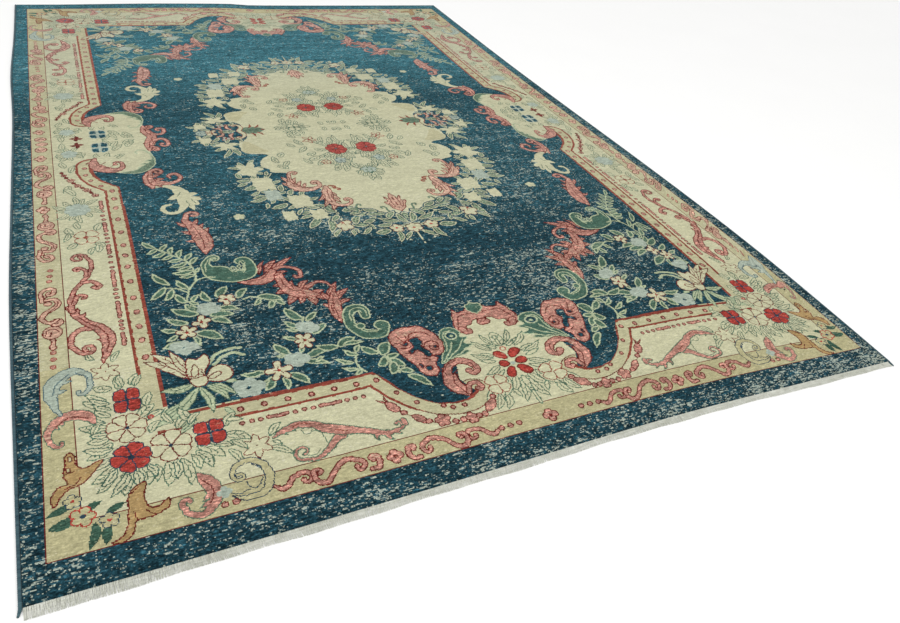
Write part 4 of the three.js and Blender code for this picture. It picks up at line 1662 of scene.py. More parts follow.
@dataclass
class NearCartouche:
    """The cream cartouche at the middle of the near end, with its scrolls and bouquet."""

    def scrolls(self) -> list[Motif]:
        """The pink and green scrolls that hold the cartouche.

        Returns:
            The motifs, in the order in which they are drawn.
        """
        return [
            Patch(
                GREENERY,
                ((85.9, 32.8), (87.2, 35.6), (88.8, 38.6), (89.0, 41.4), (90.0, 43.8), (91.8, 44.7),
                 (93.6, 43.9), (94.6, 42.2), (93.9, 40.6), (95.6, 40.3), (94.0, 38.4), (95.7, 37.3),
                 (93.0, 36.0), (94.2, 35.1), (91.4, 34.3), (88.6, 33.6)),
            ),
            Veins(
                GREENERY,
                (((86.4, 33.2), (89.4, 36.4), (91.2, 39.4)), ((87.4, 33.6), (91.4, 36.4), (94.2, 39.6)),
                 ((88.6, 33.8), (92.0, 35.2), (94.8, 36.9)),
                 ((88.6, 36.6), (89.6, 38.6), (89.8, 41.2), (90.8, 43.1), (92.4, 43.5))),
                0.36,
            ),
            Beads(Tint(Dye.NAVY, Dye.PALE, Dye.PALE, 0.4), ((91.9, 41.6),), 1.55),
            Beads(Tint(Dye.PALE, Dye.GREEN, Dye.PALE, 0.2), ((92.0, 41.5),), 0.6),
            Patch(
                ROSY,
                ((76.8, 44.0), (78.0, 46.2), (80.0, 47.5), (82.6, 47.4), (85.2, 47.2), (87.2, 45.4),
                 (88.5, 42.6), (88.9, 39.8), (88.2, 37.4), (86.6, 35.9), (84.9, 36.1), (85.6, 35.0),
                 (84.5, 33.6), (84.3, 31.2), (83.0, 29.6), (81.2, 29.9), (80.1, 31.6), (79.4, 34.6),
                 (78.1, 37.4), (77.5, 40.4)),
            ),
            Patch(
                HOLLOW,
                ((81.4, 42.8), (83.6, 43.2), (84.2, 41.4), (83.6, 39.9), (84.4, 38.3), (84.9, 36.2),
                 (83.4, 36.2), (82.6, 38.2), (82.0, 38.8), (80.2, 37.9), (80.0, 39.0), (81.4, 40.1),
                 (81.6, 41.4)),
            ),
            Patch(HOLLOW, ((79.2, 41.4), (80.2, 40.9), (80.8, 41.8), (80.4, 42.4))),
            Beads(HOLLOW, ((82.5, 32.2),), 0.95),
            Beads(HOLLOW, ((80.9, 33.6),), 0.45, 2.2),
            Beads(HOLLOW, ((86.8, 38.9),), 0.62),
            Veins(
                ROSY,
                (((84.0, 39.6), (84.9, 40.9), (86.5, 40.9), (87.6, 39.8), (87.2, 38.1), (86.0, 37.7),
                  (85.2, 38.6), (85.6, 39.5)), ((79.0, 44.9), (79.6, 42.9), (80.6, 42.1)),
                 ((81.2, 44.6), (80.8, 43.0), (79.9, 41.8)),
                 ((81.0, 42.8), (82.2, 44.4), (84.2, 45.1), (86.0, 44.2), (86.9, 42.8)),
                 ((78.2, 40.3), (79.8, 40.1), (81.2, 40.5)), ((78.0, 42.4), (78.8, 42.0), (79.4, 41.4)),
                 ((82.4, 35.6), (83.6, 35.0)), ((79.2, 38.4), (80.4, 38.6))),
                0.34,
            ),
            Scroll(
                ROSY,
                ((87.6, 21.7), (86.0, 24.4), (85.4, 27.6), (86.2, 30.8), (88.6, 32.5), (91.4, 32.2),
                 (92.9, 29.8)),
                (0.8, 3.6, 4.0, 2.4, 2.0, 2.2, 2.2, 2.0), head=-1.7, turns=0.6,
                lobes=((0.16, 1, 2.6, 0.2), (0.26, 1, 2.2, 0.5), (0.3, -1, 3.4, 0.7), (0.4, 1, 2.0, 0.9)),
            ),
            Scroll(
                ROSY, ((87.8, 22.4), (88.8, 24.6), (90.6, 24.8), (91.4, 23.6)), (1.4, 1.4, 1.5, 1.5),
                head=-1.0, turns=0.5,
            ),
            Veins(
                ROSY,
                (((87.2, 22.4), (86.0, 25.6), (86.6, 28.4), (88.4, 30.0)), ((85.0, 31.4), (85.2, 28.6)),
                 ((87.2, 31.0), (89.6, 31.6), (91.4, 30.8)), ((85.4, 30.4), (86.6, 32.0), (89.0, 32.9)),
                 ((88.0, 24.0), (87.2, 26.6), (87.8, 28.6)), ((92.6, 29.0), (92.4, 30.8), (91.6, 31.8))),
            ),
        ]

    def crest(self) -> list[Motif]:
        """The pink crest over the cartouche with its green leaf.

        Returns:
            The motifs, in the order in which they are drawn.
        """
        axis = AXIS + 0.2
        return [
            Patch(
                ROSY,
                ((94.2, 42.8), (94.6, 46.0), (95.6, 49.2), (96.4, 51.0), (97.0, 49.4), (99.0, 50.0),
                 (100.7, 51.4), (101.2, 49.4), (axis + 1, 48.0), (axis + 1, 45.6), (101.8, 46.0),
                 (99.8, 45.6), (98.6, 44.4), (96.9, 43.6), (97.4, 42.0), (96.4, 41.2)),
            ),
            Scroll(ROSY, ((95.6, 43.4), (96.2, 41.8)), (1.9, 1.6), head=1.0, turns=0.5),
            Beads(ROSY, ((101.6, 44.5),), 1.25),
            Veins(
                ROSY,
                (((95.5, 44.8), (96.6, 47.6), (98.8, 48.6), (100.6, 48.2)), ((101.0, 45.6), (101.9, 44.4))),
            ),
            Patch(
                GREENERY,
                ((axis + 0.4, 54.2), (101.7, 52.2), (100.2, 51.6), (100.4, 49.6), (101.6, 48.5),
                 (axis + 0.4, 48.2)),
            ),
        ]

    def bouquet(self) -> list[Motif]:
        """The flowers and leaves on the axis of the cartouche.

        Returns:
            The motifs, in the order in which they are drawn.
        """
        ruddy = Tint(Dye.RED, Dye.MAROON, Dye.RED, 0.28)
        petals = (
            ((101.1, 30.8), (100.1, 32.2)), ((100.6, 28.6), (99.9, 28.7)), ((101.0, 26.7), (100.1, 25.1)),
        )
        sketch = (
            (AXIS, 34.8, AXIS, 40.4, 2.2), (101.2, 35.0, 97.6, 36.6, 1.2), (101.0, 34.2, 98.8, 36.0, 1.0),
            (99.0, 32.0, 95.4, 33.4, 1.8), (98.4, 30.0, 94.8, 31.4, 1.4), (98.6, 28.6, 94.2, 26.4, 1.8),
            (99.0, 27.0, 96.0, 24.8, 1.2), (100.6, 24.6, 97.6, 19.4, 2.0), (101.4, 23.4, 99.2, 15.8, 2.2),
            (96.0, 20.2, 94.0, 14.8, 1.9), (92.6, 21.4, 90.4, 18.4, 1.4), (97.8, 20.6, 98.8, 17.4, 1.2),
            (AXIS, 24.0, AXIS, 18.0, 2.4), (AXIS, 19.0, AXIS, 13.8, 1.8), (99.2, 34.0, 95.6, 38.2, 1.7),
            (100.6, 35.6, 98.8, 40.2, 1.5), (98.2, 31.2, 93.6, 33.8, 1.6), (98.6, 24.6, 95.0, 18.4, 2.0),
            (94.4, 20.0, 91.8, 15.6, 1.8),
        )
        return [
            *leaves(SKETCHED, sketch),
            Beads(Tint(Dye.CREAM, Dye.RED, Dye.RED), ((AXIS, 33.7),), 0.8),
            *(Scroll(ruddy, line, (1.7, 2.3, 2.5)) for line in petals),
            Beads(Tint(Dye.MIST, Dye.MIST, Dye.MIST), ((AXIS, 28.5),), 0.55),
            Blossom(
                Tint(Dye.CREAM, Dye.BRICK, Dye.BRICK, 0.22), (95.3, 22.9), 3.25, 4, 45.0, Petal.SPLIT,
                (0.94, 1.04), 0.0,
            ),
        ]

    def garland(self) -> list[Motif]:
        """The small pink flowers that hang below the frame.

        Returns:
            The motifs, in the order in which they are drawn.
        """
        return [
            Thread(
                ROSY, ((67.8, 25.4), (71.4, 20.9), (75.6, 16.9), (81.0, 15.2), (88.0, 15.2), (92.6, 19.9)),
                0.24,
            ),
            *leaves(ROSY, ((69.0, 24.6, 67.2, 26.0, 0.7), (69.4, 24.8, 69.1, 26.8, 0.7))),
            Scroll(ROSY, ((69.2, 24.3), (70.3, 22.4)), (1.5, 2.5, 2.2)),
            Scroll(ROSY, ((73.2, 19.3), (74.9, 17.3)), (1.1, 2.2, 1.7)),
            Beads(
                ROSY,
                ((71.5, 20.8), (75.8, 16.9), (81.3, 15.2), (83.1, 15.2), (86.9, 15.2), (88.4, 15.5),
                 (92.4, 19.6)),
                0.82,
            ),
            Blossom(ROSY, (78.7, 16.3), 1.95, 5, heart=0.0),
            Blossom(ROSY, (85.0, 15.1), 1.75, 5, stretch=(0.8, 1.1), heart=0.0),
            Scroll(ROSY, ((89.6, 16.2), (91.6, 18.4)), (1.5, 2.6, 1.7)),
        ]

    def draw(self, chart: Chart) -> None:
        """Draws the bouquet, the garland, the crest and the scrolls."""
        draw_all(chart, (*self.bouquet(), *self.garland(), *self.crest(), *self.scrolls()))


@dataclass
class Medallion:
    """The cream medallion at the middle of the field, with its scrolls and wreaths."""

    outline: Points = (
        (118.0, 100.4), (96.0, 100.4), (90.4, 102.0), (88.6, 105.0), (84.6, 107.0), (82.6, 112.0),
        (82.0, 119.0), (76.0, 120.0), (74.6, 126.0), (75.0, 129.6), (71.0, 131.0), (70.6, 133.2),
        (68.8, 135.8), (70.0, 140.0), (72.8, 143.2), (66.4, 145.4), (65.4, 150.0), (66.6, 155.0),
        (69.4, 158.0), (69.4, 166.0), (69.4, 180.0), (118.0, 180.0),
    )

    def ground(self, chart: Chart) -> None:
        """Fills the medallion and the darker shade at its sides.

        Args:
            chart: what it is drawn on.
        """
        chart.flood(smooth(self.outline, closed=True, step=0.6), Dye.CREAM, Zone.MEDALLION)
        shade = ((66.0, 146.0), (70.4, 144.8), (74.0, 145.4), (72.0, 148.4), (69.0, 153.4), (66.8, 152.4))
        chart.flood(smooth(shade, closed=True), Dye.HAY)

    def scrolls(self) -> list[Motif]:
        """The acanthus scrolls at the shoulder and the palmette on the axis.

        Returns:
            The motifs, in the order in which they are drawn.
        """
        return [
            *leaves(
                FADED,
                ((74.8, 123.6, 73.0, 127.8, 1.6), (74.4, 121.4, 72.0, 123.8, 1.6),
                 (76.4, 119.2, 74.2, 118.2, 1.5), (75.6, 122.4, 77.0, 126.4, 1.3),
                 (76.6, 120.8, 78.0, 124.0, 1.4), (78.0, 119.8, 79.2, 122.2, 1.3)),
            ),
            Scroll(
                FADED, ((74.8, 122.6), (75.1, 126.4), (75.9, 129.4)), (2.2, 1.5, 1.3), head=-1.5, turns=0.7,
            ),
            Scroll(
                FADED,
                ((74.0, 123.6), (75.0, 120.6), (77.2, 118.6), (80.2, 118.4), (82.6, 119.5), (83.2, 121.4)),
                (1.6, 3.4, 3.2, 2.4, 1.6, 1.5), head=1.5, turns=0.85,
            ),
            Veins(
                FADED,
                (((75.0, 127.4), (75.0, 123.4), (76.6, 120.2), (79.6, 118.8)),
                 ((76.2, 122.4), (77.4, 120.6)), ((74.2, 122.6), (75.6, 120.0))),
            ),
            *leaves(
                FADED,
                ((83.2, 115.6, 79.6, 110.8, 1.7), (82.8, 112.8, 80.4, 107.2, 1.9),
                 (83.2, 110.4, 82.2, 104.4, 1.9), (84.0, 116.0, 85.8, 112.8, 1.4),
                 (83.8, 113.6, 86.2, 110.4, 1.4), (83.8, 111.4, 85.8, 108.4, 1.3)),
            ),
            Scroll(
                FADED,
                ((84.4, 119.0), (83.7, 115.4), (83.1, 111.6), (83.6, 108.4), (86.0, 106.8), (88.5, 107.7),
                 (89.2, 109.4)),
                (1.6, 3.2, 3.4, 2.6, 1.8, 1.4, 1.3), head=1.3, turns=0.7,
            ),
            Veins(
                FADED,
                (((84.2, 117.4), (83.4, 112.8), (83.2, 109.0)), ((82.4, 114.4), (81.8, 110.8)),
                 ((84.4, 114.0), (84.0, 110.6))),
            ),
            *(
                Scroll(
                    Tint(Dye.TAN, Dye.BRICK, Dye.SAGE, 0.3), ((x, y), (x + 1.2, y - 0.1)), (0.8, 0.7),
                    head=-0.8, turns=0.7,
                )
                for x, y in ((85.6, 119.2), (86.6, 117.6))
            ),
            Patch(
                FADED,
                ((AXIS + 0.4, 111.0), (101.2, 109.8), (100.9, 107.6), (99.6, 109.4), (99.8, 106.8),
                 (98.6, 106.2), (99.5, 104.2), (100.2, 102.2), (101.4, 101.0), (AXIS + 0.4, 100.8)),
            ),
            Veins(
                FADED,
                (((AXIS, 110.0), (AXIS, 102.4)), ((100.8, 107.4), (101.0, 102.6)),
                 ((99.8, 105.4), (100.6, 102.6))),
            ),
            Scroll(
                Tint(Dye.SAGE, Dye.SAGE, Dye.SAGE), ((98.2, 100.6), (97.8, 103.2)), (0.7,), head=1.0,
                turns=0.6,
            ),
            Scroll(
                Tint(Dye.SAGE, Dye.SAGE, Dye.SAGE), ((88.8, 102.6), (89.6, 106.0)), (0.7,), head=-1.0,
                turns=0.6,
            ),
        ]

    def wreath(self) -> list[Motif]:
        """The blossoms and leaves that crowd the shoulder of the medallion.

        Returns:
            The motifs, in the order in which they are drawn.
        """
        rows = (
            (65.6, 116.0, 60.0, 114.2, 2.2), (70.0, 111.2, 65.0, 109.2, 2.8),
            (75.4, 105.0, 70.8, 105.8, 2.4), (76.6, 101.8, 72.6, 96.4, 3.2), (79.6, 100.2, 78.0, 92.8, 2.8),
            (85.0, 95.4, 89.6, 94.4, 3.0), (86.0, 95.6, 88.4, 100.4, 2.8), (84.2, 93.0, 83.6, 90.0, 1.8),
            (94.6, 90.6, 90.2, 90.0, 3.2), (97.0, 90.0, 95.6, 83.8, 2.2),
            (AXIS + 0.2, 88.6, AXIS + 0.2, 80.6, 2.4), (96.4, 94.0, 91.8, 93.4, 2.4),
            (99.4, 94.8, 93.4, 97.6, 2.4), (AXIS + 0.2, 93.0, AXIS + 0.2, 100.2, 3.0),
            (101.4, 93.6, 99.8, 99.4, 2.4), (82.4, 103.4, 80.4, 108.6, 3.4),
            (84.6, 103.6, 88.4, 103.8, 2.8), (80.6, 107.6, 76.8, 108.6, 2.6),
            (86.6, 101.0, 92.6, 99.8, 2.6), (90.8, 100.2, 96.8, 99.4, 2.6), (64.0, 123.6, 60.2, 121.6, 3.0),
            (63.2, 127.0, 59.0, 127.4, 2.6), (70.6, 118.4, 71.6, 122.6, 2.2),
            (72.4, 116.0, 74.0, 119.0, 2.2), (90.2, 103.4, 86.4, 101.6, 2.6),
            (94.6, 101.6, 90.6, 103.6, 2.4), (92.0, 97.2, 88.4, 96.2, 2.4), (89.6, 93.0, 86.4, 90.2, 2.0),
            (96.6, 96.6, 99.4, 100.6, 2.6), (82.6, 101.8, 79.8, 99.0, 2.4), (78.6, 107.0, 74.4, 108.8, 1.8),
            (86.8, 105.2, 89.6, 102.2, 2.2), (71.6, 104.0, 73.6, 107.4, 1.6),
            (61.8, 126.0, 58.6, 124.2, 2.2), (64.0, 119.6, 61.2, 118.0, 1.8),
            (60.6, 156.4, 58.0, 158.6, 1.6), (64.6, 112.4, 63.6, 109.4, 1.6),
            (62.2, 149.2, 58.8, 143.4, 2.2), (62.6, 149.2, 64.2, 144.0, 2.4),
            (60.4, 153.4, 56.8, 151.6, 1.8), (60.6, 128.8, 60.4, 132.4, 2.2),
            (68.8, 129.4, 69.6, 132.0, 1.6),
        )
        greens = leaves(PARTED, [(*row[:4], row[4] * 0.84) for row in rows])
        plump = (
            (66.4, 124.2, 3.2, 4.3), (74.3, 111.8, 3.3, 3.8), (77.4, 103.3, 2.3, 2.8),
            (69.0, 104.2, 1.9, 2.7), (61.4, 151.8, 2.0, 2.2), (55.7, 157.0, 2.1, 2.9),
        )
        pair = Tint(Dye.CREAM, Dye.MAROON, Dye.RED, 0.24)
        return [
            *greens,
            *self.blob(MISTY, (67.5, 116.8, 2.4, 3.2)),
            *(motif for row in plump for motif in self.blob(IVORY, row)),
            Blossom(IVORY, (61.4, 151.8), 3.8, 5, 90.0, Petal.NARROW),
            Blossom(IVORY, (64.4, 134.2), 4.6, 5, 65.0, Petal.NARROW, (1.0, 1.1)),
            Blossom(IVORY, (64.0, 132.6), 2.8, 5, 65.0),
            Posy(
                pair, ((81.2, 95.8, 1.2), (82.2, 93.8, 1.1), (83.9, 94.6, 1.2), (83.9, 97.2, 1.2)),
                (82.5, 97.0),
            ),
            Blossom(CREAMY, (97.0, 91.2), 2.2, 5),
            Blossom(CREAMY, (AXIS + 0.2, 90.6), 2.7, 6, 30.0),
        ]

    def blob(self, tint: Tint, row: tuple[float, float, float, float]) -> list[Motif]:
        """A full, nearly square blossom with a ragged edge and a point or two at its corners.

        Args:
            tint: its dyes.
            row: its place, its size and its turn.

        Returns:
            The motifs, in the order in which they are drawn.
        """
        x, y, across, along = row[0], row[1], row[2] * 0.9, row[3] * 0.86
        angles = np.radians(np.arange(24) * 15.0 + 7.0 * x)
        square = (np.abs(np.cos(angles)) ** 5 + np.abs(np.sin(angles)) ** 5) ** -0.2
        ragged = square * (1.0 + 0.07 * np.sin(angles * 9 + x) + 0.05 * np.sin(angles * 5 + y))
        outline = np.column_stack(
            [x + across * ragged * np.cos(angles), y + along * ragged * np.sin(angles)]
        )
        spikes = [
            Leaf(
                tint, (x + a * across * 0.4, y + b * along * 0.5),
                (x + a * across * reach, y + b * along * high), across * 0.5,
            )
            for a, b, reach, high in (
                (-1, 1, 0.95, 1.25), (1, 1, 0.8, 1.15), (-1, -1, 0.8, 1.2), (1, -1, 1.0, 1.15),
            )
        ]
        return [*spikes, Patch(tint, [tuple(point) for point in outline])]

    def outer_leaves(self) -> list[Motif]:
        """The leaves round the blossoms. The medallion's cream covers their inner half.

        Returns:
            The motifs, in the order in which they are drawn.
        """
        spots = (
            (66.4, 124.2, 6.4, 8), (74.3, 111.8, 6.4, 7), (77.4, 103.3, 5.4, 6), (82.6, 96.0, 6.0, 5),
            (96.8, 91.2, 6.0, 4), (AXIS + 0.2, 90.6, 6.4, 5), (61.0, 151.8, 5.6, 7), (64.4, 134.2, 5.8, 7),
            (89.4, 97.2, 4.4, 4), (55.9, 157.0, 4.6, 6), (67.2, 117.2, 5.4, 6),
        )
        return [Halo(PARTED, (x, y), reach * 1.12, count, 1.6) for x, y, reach, count in spots]

    def cluster(self) -> list[Motif]:
        """The dark bouquet at the middle of each side of the medallion.

        Returns:
            The motifs, in the order in which they are drawn.
        """
        mixed = Tint(Dye.MIST, Dye.BRICK, Dye.BRICK, 0.22)
        cream = Tint(Dye.CREAM, Dye.BRICK, Dye.BRICK, 0.24)
        rosy = Tint(Dye.ROSE, Dye.MAROON, Dye.MAROON, 0.22)
        spikes = (
            ((71.6, 160.2), (72.6, 157.2)), ((73.6, 160.6), (75.6, 157.8)), ((75.4, 162.3), (76.8, 162.3)),
        )
        return [
            Patch(
                Tint(Dye.NAVY, Dye.NAVY, Dye.NAVY),
                ((58.4, 155.6), (66.6, 154.6), (69.4, 157.6), (69.2, 163.0), (69.2, 174.0), (60.0, 174.0),
                 (58.0, 164.0)),
            ),
            Leaf(Tint(Dye.SAGE, Dye.GREEN, Dye.GREEN, 0.3), (67.6, 162.3), (76.4, 162.3), 5.4, 0.0),
            *(Leaf(Tint(Dye.BRICK, Dye.BRICK, Dye.BRICK), base, tip, 0.8) for base, tip in spikes),
            *leaves(
                PARTED,
                ((60.2, 158.4, 57.2, 155.0, 1.5), (62.6, 157.0, 61.8, 153.6, 1.5),
                 (64.4, 157.4, 67.4, 154.6, 1.3), (58.4, 160.4, 54.8, 159.2, 1.5),
                 (61.0, 162.3, 66.4, 162.3, 2.8)),
            ),
            Scroll(
                cream, ((66.8, 163.6), (68.2, 161.4), (69.0, 158.8), (67.8, 156.8)), (1.2, 1.9, 1.5, 1.1),
                head=-1.0, turns=0.8,
            ),
            Scroll(
                rosy, ((65.4, 160.6), (64.2, 159.0), (64.8, 156.9)), (0.9, 1.5, 0.8), head=-0.8, turns=0.6,
            ),
            Scroll(
                rosy, ((62.2, 161.2), (61.4, 159.4), (59.6, 158.8)), (0.8, 1.4, 0.7), tail=0.7, turns=0.5,
            ),
            Posy(mixed, ((61.6, 156.4, 0.8), (63.2, 157.0, 0.8), (62.0, 158.0, 0.7)), (62.3, 157.1)),
            Posy(cream, ((57.6, 161.2, 0.9), (59.6, 161.0, 0.8), (58.4, 162.8, 0.9)), (58.6, 161.8)),
            Leaf(SLATY, (56.4, 161.4), (53.4, 162.6), 2.6),
        ]

    def ring(self) -> list[Motif]:
        """The loose ring of flowers inside the medallion.

        Returns:
            The motifs, in the order in which they are drawn.
        """
        faint = leaves(
            ETCHED,
            ((88.4, 142.6, 85.6, 140.6, 2.4), (89.0, 139.4, 85.0, 137.2, 2.6),
             (89.4, 136.8, 86.8, 133.0, 2.2), (86.8, 147.2, 83.4, 143.2, 2.2),
             (86.4, 148.4, 84.6, 152.8, 2.2), (85.2, 154.0, 84.0, 158.8, 2.4),
             (87.4, 155.4, 86.4, 160.0, 2.2), (99.2, 148.2, 98.6, 154.6, 2.0),
             (96.6, 148.6, 97.0, 153.0, 2.0), (93.2, 132.6, 91.2, 128.6, 2.4),
             (95.6, 132.6, 94.4, 127.6, 2.4), (98.0, 133.6, 98.6, 129.4, 2.2),
             (AXIS - 1.0, 126.0, 100.6, 120.4, 2.2), (99.4, 127.6, 97.6, 125.0, 2.0),
             (76.6, 141.0, 78.0, 143.8, 2.4), (74.8, 136.8, 74.0, 141.6, 2.2),
             (74.0, 134.8, 76.8, 132.6, 2.4), (101.0, 143.6, 100.6, 148.6, 2.0),
             (84.6, 163.0, 80.2, 161.6, 2.4), (82.6, 165.8, 80.6, 169.0, 2.2),
             (90.8, 162.4, 94.0, 163.2, 2.2), (97.6, 158.6, 98.4, 161.6, 1.8),
             (100.8, 158.6, AXIS, 161.0, 1.8), (91.4, 148.6, 90.6, 154.4, 1.8),
             (93.4, 149.4, 94.2, 154.0, 1.8), (85.6, 134.6, 83.6, 138.6, 2.0),
             (100.6, 136.4, 99.6, 141.4, 2.0), (91.0, 139.6, 92.6, 132.0, 2.2),
             (83.4, 147.6, 81.2, 150.2, 2.0), (76.4, 134.4, 78.4, 137.6, 2.0)),
        )
        red = Tint(Dye.RED, Dye.MAROON, Dye.SLATE, 0.24)
        bud = Tint(Dye.CREAM, Dye.BRICK, Dye.BRICK, 0.3)
        return [
            Halo(ETCHED, (95.0, 136.2), 5.2, 9, 1.7),
            Halo(ETCHED, (87.4, 162.1), 5.6, 9, 1.7),
            Halo(ETCHED, (AXIS - 0.8, 127.8), 4.8, 8, 1.7),
            Halo(ETCHED, (96.0, 143.2), 8.6, 9, 2.1),
            *faint,
            Blossom(Tint(Dye.CREAM, Dye.SAGE, Dye.SAGE, 0.3), (87.4, 162.1), 2.6, 4, 45.0, Petal.SPLIT),
            Blossom(bud, (89.6, 152.0), 2.7, 5, 60.0, Petal.NARROW),
            Blossom(bud, (90.2, 134.9), 1.7, 5),
            Blossom(Tint(Dye.MIST, Dye.SLATE, Dye.SLATE), (95.2, 135.6), 2.1, 5),
            Blossom(Tint(Dye.MIST, Dye.SAGE, Dye.SAGE), (AXIS - 0.8, 127.8), 2.1, 5),
            Blossom(red, (96.7, 144.0), 3.9, 8, 80.0, Petal.SPLIT, (0.92, 1.04), heart=0.1),
        ]

    def draw(self, chart: Chart) -> None:
        """Draws the ground and then everything on it.

        Args:
            chart: what it is drawn on.
        """
        draw_all(chart, self.outer_leaves())
        self.ground(chart)
        draw_all(chart, (*self.ring(), *self.wreath(), *self.scrolls(), *self.cluster()))


def draw_quarter() -> Chart:
    """Draws the whole quarter, from the outer band to the medallion.

    Returns:
        The chart, ready for the loom.
    """
    chart = Chart()
    parts = (
        Grounds(),
        Frame(),
        NearBorder(),
        SideBorder(),
        NearGuard(),
        SideGuard(),
        Field(),
        FieldScrolls(),
        CornerSprays(),
        CornerBouquet(),
        NearCartouche(),
        SideCartouche(),
        SideOrnaments(),
        Medallion(),
    )
    for part in parts:
        part.draw(chart)
    return chart


# The bed, the wool and the loom


@dataclass
class Bed:
    """The lie of the rug, read from the CAD body: the grids of its top and its underside.

    Rows of stray hold metres from the near end, and how far the design has moved there to
    the right near its axis, to the right near its side, and up the border. The three lists
    after it give the share of each that is felt, by metres from the left side.
    """

    node: bpy.types.Object
    across: int = 24
    along: int = 36
    band: float = 0.033  # metres of the side bands, from the side to the guard border
    axis: Points = ((0.0, 1.022), (0.35, 1.023), (0.48, 1.006), (0.6, 0.998), (0.72, 0.994), (1.0, 0.994))
    middle: float = 0.5347  # the share of the length where the design turns over
    stray: Sequence[tuple[float, float, float, float]] = (
        (0.0, 0.0, 0.0, 0.0), (0.08, 0.008, 0.005, -0.005), (0.15, 0.02, 0.012, -0.012),
        (0.27, 0.03, 0.012, -0.022), (0.42, 0.03, 0.016, -0.04), (0.52, 0.036, 0.02, -0.048),
        (0.64, 0.04, 0.028, -0.04), (0.8, 0.03, 0.034, -0.026), (1.05, 0.004, 0.038, -0.022),
        (1.3, 0.0, 0.038, -0.02), (1.5, 0.0, 0.033, -0.01), (1.65, 0.0, 0.022, 0.0),
        (1.9, 0.0, 0.0, 0.0), (2.2, 0.0, 0.004, 0.0), (2.4, 0.02, 0.008, 0.0), (2.6, 0.034, 0.012, 0.0),
        (2.75, 0.04, 0.012, 0.0), (2.88, 0.03, 0.0, 0.0), (3.03, 0.0, 0.0, 0.0),
    )
    near_axis: Points = ((1.02, 0.0), (1.14, 1.0), (1.4, 0.65), (1.58, 0.0))
    near_side: Points = ((1.14, 0.0), (1.4, 0.35), (1.58, 1.0), (1.66, 1.0), (1.77, 0.0))
    in_border: Points = ((1.55, 0.0), (1.7, 0.35), (1.82, 0.7), (1.92, 1.0), (1.965, 1.0), (1.985, 0.0))
    drawn_in: float = 0.006  # metres that the left bands have moved in at the far end
    top: np.ndarray = field(init=False)
    base: np.ndarray = field(init=False)

    def __post_init__(self) -> None:
        """Sorts the body's points into two grids of rows from near to far."""
        flat = np.empty(len(self.node.data.vertices) * 3)
        self.node.data.vertices.foreach_get("co", flat)
        points = np.unique(np.round(flat.reshape(-1, 3), 5), axis=0)
        rows = points[np.argsort(points[:, 1])].reshape(self.along + 1, -1, 3)
        grid = np.stack([row[np.lexsort((row[:, 2], row[:, 0]))] for row in rows])
        pairs = grid.reshape(self.along + 1, self.across + 1, 2, 3)
        self.base, self.top = pairs[:, :, 0], pairs[:, :, 1]

    def on(self, grid: np.ndarray, u: np.ndarray, v: np.ndarray) -> np.ndarray:
        """Finds points of a grid.

        Args:
            grid: the top or the base.
            u: shares of the width, from the left.
            v: shares of the length, from the near end.

        Returns:
            The points, in metres, with a last axis of three.
        """
        x = np.clip(u, 0, 1) * self.across
        y = np.clip(v, 0, 1) * self.along
        i, j = np.minimum(x.astype(int), self.across - 1), np.minimum(y.astype(int), self.along - 1)
        fx, fy = (x - i)[..., None], (y - j)[..., None]
        near = grid[j, i] * (1 - fx) + grid[j, i + 1] * fx
        far = grid[j + 1, i] * (1 - fx) + grid[j + 1, i + 1] * fx
        return near * (1 - fy) + far * fy

    def shares(self, cols: np.ndarray, rows: np.ndarray) -> tuple[np.ndarray, np.ndarray]:
        """Finds where lines of knots lie.

        The borders run straight while the left side bows out, so the outer bands take up
        the bow, and the design is beaten tighter in its far half.

        Args:
            cols: knots from the left side.
            rows: knots from the near end.

        Returns:
            The shares of the width and of the length at each crossing, one row for each row of knots.
        """
        share = rows / HALF_ALONG
        v = np.where(share < 1, share * self.middle, self.middle + (share - 1) * (1 - self.middle))
        left = self.on(self.top, np.zeros_like(v), v)[:, 0]
        right = self.on(self.top, np.ones_like(v), v)[:, 0]
        origin = self.top[0, 0, 0]
        axis = origin + np.interp(v, *zip(*self.axis))
        marks = (0, SIDE_KNOTS, HALF_ACROSS, 2 * HALF_ACROSS - SIDE_KNOTS, 2 * HALF_ACROSS)
        places = np.stack(
            [left, origin + self.band + self.drawn_in * v**2, axis, right - self.band, right], axis=1,
        )
        x = np.stack([np.interp(cols, marks, place) for place in places]) - origin
        aside, along = self.strays(x, v * LENGTH)
        u = (x + aside + origin - left[:, None]) / (right - left)[:, None]
        return u, v[:, None] + along / LENGTH

    def strays(self, x: np.ndarray, y: np.ndarray) -> tuple[np.ndarray, np.ndarray]:
        """Finds how far the right half has strayed from a mirror image of the left.

        Args:
            x: metres from the left side, one row for each row of knots.
            y: metres from the near end.

        Returns:
            The shifts to the right and away from the near end, in metres.
        """
        marks, axis, side, border = np.array(self.stray).T
        by_axis, by_side, up = (np.interp(y, marks, shift)[:, None] for shift in (axis, side, border))
        first, second, third = (
            np.interp(x, *zip(*share)) for share in (self.near_axis, self.near_side, self.in_border)
        )
        return by_axis * first + by_side * second, up * third


